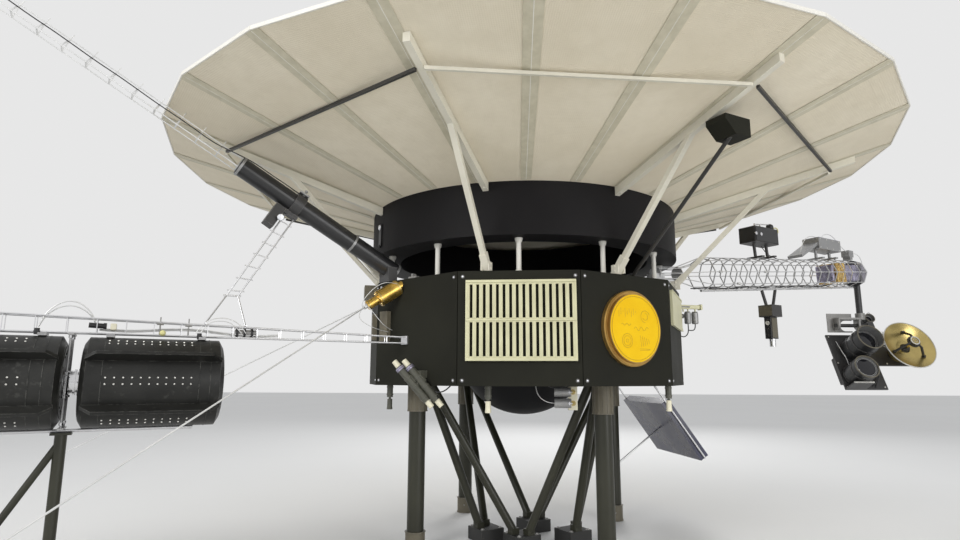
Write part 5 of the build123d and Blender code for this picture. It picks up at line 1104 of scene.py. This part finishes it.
# %% [markdown]
# ## Thrusters and tanks below the body
# The thrusters are turned tubes with cream nozzles, held in lilac foil collars.
# The two small tanks are ribbed all along, like a spring, and are held by a
# cream plate with two gold bolts.

# %% Cream nozzles and the collars behind them
TWIN_HIGH = Vector((-0.523, -0.722, 0.837))
TWIN_LOW = Vector((-0.397, -0.722, 0.692))
TWIN_SHIFT = Vector((0.042, 0.0, 0.004))
twin_way = (TWIN_LOW - TWIN_HIGH).normalized()
nozzles, collars, links = bmesh.new(), bmesh.new(), bmesh.new()
for shift in (Vector((0.0, 0.0, 0.0)), TWIN_SHIFT):
    high, low = TWIN_HIGH + shift, TWIN_LOW + shift
    rod(nozzles, high - twin_way * 0.0325, high, 0.0118, 18, 0.0130)
    rod(nozzles, low, low + twin_way * 0.0325, 0.0130, 18, 0.0118)
    for reach in (0.004, 0.012):
        ring(collars, 0.0168, 0.0205, 0.006, high + twin_way * reach, twin_way, 28)
    for reach in (0.060, 0.110, 0.168):
        ring(links, 0.0168, 0.0190, 0.007, high + twin_way * reach, twin_way, 28)
    slab(links, high + twin_way * 0.085 + Vector((0.010, -0.010, 0.014)), (0.036, 0.010, 0.008), twin_way, (0.6, -0.6, 0.5), 0.001)
for x, y, cream in ((-0.136, -0.715, True), (-0.620, -0.462, False), (0.665, -0.474, True)):
    body = nozzles if cream else links
    turned(body, ((0.0, 0.0), (0.0115, 0.0), (0.0120, 0.030), (0.0135, 0.048), (0.0110, 0.0485), (0.0, 0.040)),
           (x, y, 0.693), -UP, 24)
    for drop in (0.006, 0.040):
        ring(links, 0.0138, 0.0158, 0.006, (x, y, 0.757 - drop), -UP, 24)
finished("thruster_nozzles", nozzles, "nozzle_cream")
finished("thruster_collars", collars, "foil_lilac")
finished("thruster_bands", links, "thruster_olive")

# %% Ribbed tanks with their plate, bolts and wires
ribs, plate, bolts, pins = bmesh.new(), bmesh.new(), bmesh.new(), bmesh.new()
for height in (0.731, 0.683):
    for k in range(12):
        ring(ribs, 0.0190, 0.0206, 0.0034, (0.148 + 0.0059 * k, -0.626, height), (1.0, 0.0, 0.0), 28)
    turned(bolts, ((0.0, 0.007), (0.006, 0.007), (0.0085, 0.004), (0.0085, 0.0), (0.0, 0.0)), (0.228, -0.617, height), (0.0, -1.0, 0.0), 6)
    ring(bolts, 0.0085, 0.0115, 0.0015, (0.228, -0.617, height), (0.0, -1.0, 0.0), 24)
    rod(pins, (0.206, -0.6475, height), (0.224, -0.6475, height), 0.0022, 8)
    slab(pins, (0.2105, -0.640, height), (0.004, 0.018, 0.014), (1.0, 0.0, 0.0), UP, 0.001)
slab(plate, (0.227, -0.6155, 0.704), (0.040, 0.003, 0.100), (1.0, 0.0, 0.0), UP, 0.001)
finished("tank_ribs", ribs, "case_grey")
finished("tank_plate", plate, "nozzle_cream")
finished("tank_bolts", bolts, "brass_dark")
finished("tank_pins", pins, "mirror_white")
wires("tank_wire", [[(0.066, -0.618, 0.757), (0.069, -0.624, 0.735), (0.082, -0.628, 0.708), (0.108, -0.628, 0.690),
                     (0.134, -0.627, 0.684), (0.150, -0.626, 0.683)]], 0.0016, "wire_white")
wires("under_body_cable", [
    [(-0.405, -0.690, 0.758), (-0.385, -0.712, 0.738), (-0.352, -0.722, 0.728), (-0.318, -0.726, 0.735), (-0.296, -0.724, 0.758)],
    [(0.120, -0.700, 0.758), (0.160, -0.712, 0.742), (0.200, -0.706, 0.758)],
], 0.0028, "cable_black")

# %% Bracket, tanks and cable beside the pale side plate
bracket, tanks = bmesh.new(), bmesh.new()
corner_way = heading(CORNER_SIDE)
slab(bracket, side_place(CORNER_SIDE, -0.200, 1.178, 0.100), (0.140, 0.020, 0.022), corner_way, UP, 0.002)
slab(bracket, side_place(CORNER_SIDE, -0.200, 1.178, 0.160), (0.012, 0.034, 0.030), corner_way, UP, 0.002)
for out in (0.050, 0.078, 0.122):
    rod(bracket, side_place(CORNER_SIDE, -0.210, 1.166, out), side_place(CORNER_SIDE, -0.210, 1.150, out), 0.004, 10)
for out in (0.078, 0.122):
    foot = side_place(CORNER_SIDE, -0.205, 1.084, out)
    turned(tanks, ((0.0, 0.0), (0.015, 0.001), (0.0175, 0.005), (0.0175, 0.060), (0.014, 0.068), (0.0, 0.068)), foot, UP, 28)
    for k in range(8):
        ring(tanks, 0.0172, 0.0184, 0.003, foot + UP * (0.010 + 0.006 * k), UP, 28)
side_way = heading(PLATE_SIDE)
for along in (-0.200, 0.224):
    for height in (1.046, 1.190):
        screw(bracket, side_place(PLATE_SIDE, along * 0.98, height, 0.012), side_way, 0.005, 10)
for height in (1.0375, 1.1985):
    slab(bracket, side_place(PLATE_SIDE, 0.012, height, 0.0135), (0.440, 0.003, 0.008), heading(PLATE_SIDE + 90.0), UP, 0.0008)
finished("corner_bracket", bracket, "louvre_cream")
finished("corner_tanks", tanks, "case_grey")
wires("corner_cable", [
    [side_place(CORNER_SIDE, -0.205, 1.086, 0.078), side_place(CORNER_SIDE, -0.206, 1.052, 0.080),
     side_place(CORNER_SIDE, -0.212, 1.022, 0.066), side_place(CORNER_SIDE, -0.220, 1.010, 0.036),
     side_place(CORNER_SIDE, -0.226, 1.022, 0.010), side_place(CORNER_SIDE, -0.228, 1.036, -0.002)],
    [side_place(CORNER_SIDE, -0.205, 1.086, 0.122), side_place(CORNER_SIDE, -0.208, 1.060, 0.120),
     side_place(CORNER_SIDE, -0.214, 1.046, 0.098), side_place(CORNER_SIDE, -0.212, 1.050, 0.078)],
], 0.0028, "cable_black")

# %% Flap and disc on the drum, and a clip on the body's top edge
bm = bmesh.new()
flap_way = heading(-148.0)
slab(bm, flap_way * 0.8215 + UP * 1.490, (0.034, 0.006, 0.112), heading(-58.0), UP, 0.0015)
rod(bm, flap_way * 0.824 + UP * 1.428, flap_way * 0.824 + UP * 1.442, 0.006, 12)
finished("drum_flap", bm, "cable_black")
bm = bmesh.new()
turned(bm, ((0.0, 0.007), (0.010, 0.006), (0.0135, 0.002), (0.0135, 0.0), (0.0, 0.0)), flap_way * 0.8245 + UP * 1.530, flap_way, 24)
finished("drum_disc", bm, "mirror_white")
bm = bmesh.new()
clip_at = heading(-128.0) * 0.790 + UP * 1.241
slab(bm, clip_at + UP * 0.004, (0.050, 0.024, 0.008), heading(-38.0), UP, 0.001)
slab(bm, clip_at + UP * 0.014, (0.008, 0.024, 0.014), heading(-38.0), UP, 0.001)
screw(bm, clip_at + UP * 0.008 + heading(-38.0) * 0.016, UP, 0.005, 10)
finished("edge_clip", bm, "clamp_grey")

# %% [markdown]
# ## The science boom
# The cage carries small connectors and lilac foil round the gold foil box. Its
# instruments have pins, caps, cables and a white lens, all of them hand-cut.

# %% Foil wraps and connectors inside the cage
bm = bmesh.new()
for station, length, side in ((1.247, 0.030, 0.112), (1.432, 0.095, 0.110), (1.528, 0.082, 0.112)):
    slab(bm, cage_place(station), (length, side, side), CAGE_WAY, CAGE_UP, 0.008)
finished("cage_lilac_wraps", bm, "foil_lilac")

bm = bmesh.new()
for station, turn_to in ((0.050, 90.0), (0.232, 135.0), (0.460, 90.0), (0.725, 135.0), (0.960, 90.0), (1.150, 135.0)):
    out = CAGE_UP * cos(radians(turn_to)) - CAGE_ACROSS * sin(radians(turn_to))
    place = cage_place(station) + out * 0.090
    rod(bm, place - CAGE_WAY * 0.011, place + CAGE_WAY * 0.011, 0.0068, 12)
    rod(bm, place, place + out * 0.012, 0.0035, 8)
for station in (0.10, 0.30, 0.52, 0.68, 0.90, 1.10, 1.30, 1.50):
    rod(bm, cage_place(station, -0.1010), cage_place(station, -0.0930), 0.0050, 8)
finished("cage_connectors", bm, "wire_white")

wires("cage_cables", [
    [cage_place(0.09 * k, -0.078 + 0.005 * sin(1.9 * k), 0.012 * sin(0.8 * k)) for k in range(-1, 15)],
    [cage_place(0.09 * k, -0.080 + 0.004 * cos(1.3 * k), 0.016 + 0.008 * sin(1.1 * k)) for k in range(-1, 15)],
], 0.0030, "cable_black")


def above_cage(station, across, height):
    """A point over a place on the science boom, at a height above the floor."""
    below = cage_place(station, 0.095, across)
    return Vector((below.x, below.y, height))


# %% Upper detector: rods, a round cap and hooks
bm = bmesh.new()
rod(bm, above_cage(0.468, -0.040, 1.6870), above_cage(0.468, -0.040, 1.704), 0.0060, 12)
rod(bm, above_cage(0.460, -0.042, 1.698), above_cage(0.610, -0.036, 1.716), 0.0035, 10)
rod(bm, above_cage(0.520, -0.040, 1.6870), above_cage(0.520, -0.040, 1.708), 0.0050, 10)
for station in (0.452, 0.500):
    rod(bm, above_cage(station, -0.054, 1.640), above_cage(station, -0.060, 1.640), 0.010, 14)
finished("detector_rods", bm, "steel_bright")
wires("detector_hook", [[above_cage(0.655, -0.030, 1.687), above_cage(0.660, -0.040, 1.703), above_cage(0.672, -0.050, 1.699),
                         above_cage(0.676, -0.056, 1.684), above_cage(0.668, -0.058, 1.668)]], 0.0034, "knob_yellow")
bm = bmesh.new()
cap_at = above_cage(0.632, -0.030, 1.687)
turned(bm, ((0.0, 0.036), (0.010, 0.035), (0.019, 0.028), (0.022, 0.018), (0.022, 0.006), (0.014, 0.0), (0.0, 0.0)), cap_at, UP, 28)
slab(bm, above_cage(0.560, -0.0565, 1.640), (0.215, 0.003, 0.085), CAGE_FLAT, UP, 0.001)
for way, reach in ((-CAGE_FLAT, 0.1125), (CAGE_FLAT, 0.1125)):
    slab(bm, above_cage(0.560, 0.0, 1.640) + way * (reach + 0.0012), (0.100, 0.003, 0.085), CAGE_ACROSS, UP, 0.001)
finished("detector_cap_and_covers", bm, "canister_black")

# %% Telescope: a lilac top, end screws and cables
bm = bmesh.new()
slab(bm, above_cage(1.245, 0.0, 1.7005), (0.240, 0.104, 0.003), CAGE_FLAT, UP, 0.001)
finished("telescope_top", bm, "foil_lilac")
bm = bmesh.new()
for along in (-0.110, -0.036, 0.036, 0.110):
    for height in (1.634, 1.690):
        screw(bm, above_cage(1.245 + along, -0.055, height), -CAGE_ACROSS, 0.004, 8)
telescope_mouth = above_cage(1.245, 0.0, 1.662) + CAGE_FLAT * 0.1275
ring(bm, 0.016, 0.024, 0.006, telescope_mouth, CAGE_FLAT, 28)
for across in (-0.020, 0.020):
    rod(bm, above_cage(1.1275, across, 1.640), above_cage(1.108, across, 1.632), 0.005, 10)
finished("telescope_fittings", bm, "case_pale")
wires("instrument_cables", [
    [above_cage(0.950, -0.020, 1.574), above_cage(0.966, -0.030, 1.640), above_cage(1.010, -0.034, 1.684),
     above_cage(1.070, -0.030, 1.704), above_cage(1.130, -0.026, 1.706), above_cage(1.160, -0.024, 1.699)],
    [above_cage(1.190, -0.024, 1.699), above_cage(1.222, -0.026, 1.732), above_cage(1.290, -0.030, 1.744),
     above_cage(1.360, -0.028, 1.722), above_cage(1.420, -0.024, 1.680), above_cage(1.534, -0.012, 1.645)],
    [above_cage(1.570, -0.018, 1.645), above_cage(1.626, -0.026, 1.648), above_cage(1.672, -0.030, 1.610),
     above_cage(1.686, -0.026, 1.560), above_cage(1.668, -0.014, 1.520), above_cage(1.652, -0.006, 1.512)],
], 0.0022, "wire_white")
wires("instrument_leads", [
    [above_cage(0.602, 0.020, 1.60), above_cage(0.640, 0.024, 1.565), above_cage(0.700, 0.020, 1.535), cage_place(0.740, 0.093)],
    [above_cage(1.330, 0.020, 1.63), above_cage(1.372, 0.020, 1.604), above_cage(1.400, 0.012, 1.590), cage_place(1.412, 0.093)],
], 0.0024, "cable_black")

# %% Hanging detector: a framed face, a white lens and a silver nozzle
hang_at = cage_place(0.600, -0.0998)
face_at = Vector((hang_at.x, hang_at.y, 0.0)) - CAGE_FLAT * 0.032
bm = bmesh.new()
for across in (-0.0175, 0.0175):
    slab(bm, face_at + CAGE_ACROSS * across - CAGE_FLAT * 0.002 + UP * 1.090, (0.005, 0.005, 0.130), CAGE_ACROSS, UP, 0.0008)
for height in (1.0275, 1.1525):
    slab(bm, face_at - CAGE_FLAT * 0.002 + UP * height, (0.040, 0.005, 0.005), CAGE_ACROSS, UP, 0.0008)
finished("hanging_detector_frame", bm, "cable_black")
bm = bmesh.new()
lens_at = face_at + UP * 1.118
turned(bm, ((0.0, 0.005), (0.0075, 0.0045), (0.0085, 0.007), (0.0120, 0.0065), (0.0125, 0.0), (0.0, 0.0)), lens_at, -CAGE_FLAT, 28)
finished("hanging_detector_lens", bm, "pillar_white")
bm = bmesh.new()
for height in (1.085, 1.045):
    screw(bm, face_at + UP * height, -CAGE_FLAT, 0.0035, 8)
slab(bm, face_at + CAGE_FLAT * 0.032 - CAGE_ACROSS * 0.0215 + UP * 1.090, (0.050, 0.003, 0.118), CAGE_FLAT, UP, 0.0008)
slab(bm, face_at - CAGE_FLAT * 0.0165 + UP * 1.190, (0.084, 0.002, 0.062), CAGE_ACROSS, UP, 0.0006)
finished("hanging_detector_covers", bm, "collar_grey")
bm = bmesh.new()
nozzle_at = Vector((hang_at.x, hang_at.y, 1.0255))
turned(bm, ((0.0, 0.0), (0.0185, 0.0), (0.0195, 0.010), (0.0178, 0.014), (0.0178, 0.0455), (0.0145, 0.0455), (0.0, 0.036)), nozzle_at, -UP, 28)
finished("hanging_detector_nozzle", bm, "steel_bright")

# %% [markdown]
# ## The pointing platform
# These pieces ride on the platform, so they turn with it. The cameras have pale
# rims, bright linings and dark glass; the gold dish has a rolled rim and three
# arms that hold its little mirror.

# %% Rims, linings and glass of the cameras
rims, linings, glass = bmesh.new(), bmesh.new(), bmesh.new()
for along, up, radius, wall, front, hood in (
    (-0.060, -0.151, 0.085, 0.005, 0.120, 0.060),
    (0.072, 0.0513, 0.033, 0.003, 0.020, 0.026),
    (-0.114, -0.332, 0.078, 0.005, 0.050, 0.012),
):
    middle = platform_place(along, up, front)
    inner = radius - wall
    turned(rims, ((inner - 0.001, 0.0), (radius + 0.001, 0.0), (radius + 0.0016, 0.002), (radius, 0.004),
                  (inner, 0.004), (inner - 0.001, 0.0)), middle - AIM * 0.0005, AIM, 64)
    ring(linings, inner - 0.0012, inner + 0.0002, hood - 0.003, middle - AIM * (hood - 0.002), AIM, 64)
    depth = middle - AIM * (hood - 0.0005)
    turned(glass, ((0.0, 0.006), (inner * 0.4, 0.0052), (inner * 0.75, 0.003), (inner * 0.8, 0.0), (0.0, 0.0)), depth, AIM, 48)
    for share in (0.80, 0.90):
        ring(linings, inner * share, inner * share + 0.003, 0.003, depth, AIM, 48)
finished("camera_rims", rims, "collar_grey", "platform")
finished("camera_linings", linings, "case_grey", "platform")
finished("camera_glass", glass, "lens_black", "platform")

bm = bmesh.new()
for along, up, radius, stations in (
    (-0.060, -0.151, 0.085, (-0.090, -0.020, 0.050)),
    (-0.114, -0.332, 0.078, (-0.088, 0.000)),
    (0.072, 0.0513, 0.033, (-0.060, -0.020)),
):
    for ahead in stations:
        ring(bm, radius - 0.0005, radius + 0.0030, 0.006, platform_place(along, up, ahead), AIM, 56)
        for k in range(3):
            out = AXLE_WAY * cos(radians(120.0 * k + 20.0)) + LIFT * sin(radians(120.0 * k + 20.0))
            rod(bm, platform_place(along, up, ahead - 0.004) + out * (radius + 0.003),
                platform_place(along, up, ahead + 0.010) + out * (radius + 0.003), 0.0035, 8)
finished("camera_bands", bm, "case_dark", "platform")

# %% Bolts, shelf edge and hook of the platform's plate
bm = bmesh.new()
for along, up in ((-0.190, -0.034), (-0.190, -0.232), (-0.190, -0.408), (0.066, -0.034), (0.066, -0.232), (0.066, -0.408),
                  (0.150, -0.104), (0.150, -0.236), (0.302, -0.104), (0.302, -0.236)):
    screw(bm, platform_place(along, up, -0.100), AIM, 0.006, 10)
slab(bm, platform_place(-0.1375, -0.4190, 0.0015), (0.134, 0.011, 0.003), AXLE_WAY, AIM, 0.001)
for along in (-0.195, -0.082):
    screw(bm, platform_place(along, -0.419, 0.003), AIM, 0.005, 10)
finished("platform_bolts", bm, "rivet_pale", "platform")
wires("platform_hook", [
    [platform_place(0.078, 0.082, 0.004), platform_place(0.080, 0.100, 0.004), platform_place(0.090, 0.106, 0.004),
     platform_place(0.102, 0.100, 0.002), platform_place(0.104, 0.078, -0.004), platform_place(0.100, 0.066, -0.008)],
], 0.0022, "wire_silver", "platform")
wires("platform_cables", [
    [platform_place(0.022, -0.120, 0.108), platform_place(0.042, -0.104, 0.112), platform_place(0.058, -0.110, 0.090),
     platform_place(0.064, -0.130, 0.050), platform_place(0.078, -0.150, 0.010), platform_place(0.100, -0.164, 0.002),
     platform_place(0.118, -0.167, 0.0155)],
    [platform_place(-0.150, -0.070, -0.098), platform_place(-0.165, -0.110, -0.070), platform_place(-0.162, -0.170, -0.060),
     platform_place(-0.140, -0.210, -0.070), platform_place(-0.130, -0.262, -0.090)],
], 0.0026, "wire_white", "platform")
wires("platform_dark_cables", [
    [platform_place(0.020, -0.260, -0.099), platform_place(0.030, -0.300, -0.080), platform_place(0.024, -0.350, -0.072),
     platform_place(-0.004, -0.390, -0.084), platform_place(-0.020, -0.404, -0.099)],
    [platform_place(0.040, -0.200, -0.099), platform_place(0.056, -0.250, -0.078), platform_place(0.050, -0.310, -0.070),
     platform_place(0.020, -0.372, -0.080), platform_place(0.000, -0.412, -0.099)],
], 0.0034, "cable_black", "platform")

# %% Rolled rim, arms and mirror of the small gold dish
GOLD_AT = (0.248, -0.167)
GOLD_LEAN = radians(25.4)  # of the bowl's surface where the arms' feet stand
bm = bmesh.new()
turned(bm, ((0.1650, 0.0), (0.1690, -0.002), (0.1705, 0.002), (0.1690, 0.006), (0.1660, 0.006), (0.1645, 0.003), (0.1650, 0.0)),
       platform_place(*GOLD_AT, 0.040), AIM, 80)
mirror_at = platform_place(*GOLD_AT, 0.1003)
ring(bm, 0.0235, 0.0300, 0.004, mirror_at - AIM * 0.001, AIM, 40)
ring(bm, 0.0110, 0.0125, 0.0015, mirror_at, AIM, 32)
finished("gold_dish_rim", bm, "case_pale", "platform")
bm = bmesh.new()
for turn_to in (200.0, 320.0, 80.0):
    out = AXLE_WAY * cos(radians(turn_to)) + LIFT * sin(radians(turn_to))
    square = AIM * cos(GOLD_LEAN) - out * sin(GOLD_LEAN)
    foot = platform_place(*GOLD_AT, 0.0090) + out * 0.112
    knee = platform_place(*GOLD_AT, 0.074) + out * 0.058
    head = platform_place(*GOLD_AT, 0.090) + out * 0.024
    rod(bm, foot + square * 0.004, knee, 0.0080, 12)
    rod(bm, knee, head, 0.0070, 12)
    rod(bm, foot - square * 0.0015, foot + square * 0.010, 0.0125, 14)
turned(bm, ((0.0, 0.030), (0.020, 0.030), (0.027, 0.020), (0.034, 0.008), (0.040, 0.0), (0.0, 0.0)), platform_place(*GOLD_AT, -0.020), AIM, 40)
ring(bm, 0.0120, 0.0400, 0.010, platform_place(*GOLD_AT, 0.079), AIM, 40)
finished("gold_dish_arms", bm, "canister_black", "platform")

# %% [markdown]
# ## Legs and feet
# The collars at the tops of the legs are fluted, and a band closes each. Bolts
# hold the struts' lugs to the floor blocks.

# %% Fluted collars, bands and floor bolts
bm = bmesh.new()
for k in range(4):
    leg_at = heading(-54.0 + 90.0 * k) * 0.624
    for flute in range(14):
        out = heading(360.0 / 14 * flute + 9.0)
        slab(bm, leg_at + out * 0.0462 + UP * 0.6945, (0.0030, 0.0058, 0.117), out, UP, 0.0007)
    for height, thick in ((0.632, 0.004), (0.753, 0.004), (0.0815, 0.0035), (0.0, 0.005)):
        ring(bm, 0.0455, 0.0490, thick, leg_at + UP * height, UP, 40)
finished("collar_flutes", bm, "collar_grey")

bm = bmesh.new()
for block_x, block_y in ((-0.190, -0.140), (-0.008, -0.262), (0.240, -0.140), (0.045, 0.075)):
    for quarter in range(4):
        corner = heading(-54.0 + 45.0 + 90.0 * quarter) * 0.072
        place = Vector((block_x, block_y, 0.060)) + corner
        turned(bm, ((0.0, 0.006), (0.0055, 0.006), (0.0065, 0.004), (0.0065, 0.0), (0.0, 0.0)), place, UP, 6)
        ring(bm, 0.006, 0.010, 0.0015, place, UP, 20)
for k in range(4):
    for quarter in range(3):
        place = heading(-54.0 + 90.0 * k) * 0.624 + heading(120.0 * quarter + 30.0) * 0.0458 + UP * 0.045
        screw(bm, place, heading(120.0 * quarter + 30.0), 0.0045, 8)
finished("floor_bolts", bm, "clamp_grey")

# %% Bands on the feed
bm = bmesh.new()
for height, radius in ((1.578, 0.158), (1.700, 0.1250), (1.850, 0.0860)):
    ring(bm, radius - 0.006, radius + 0.004, 0.008, (0.0, 0.0, height), UP, 48)
finished("feed_bands", bm, "ivory_paint")
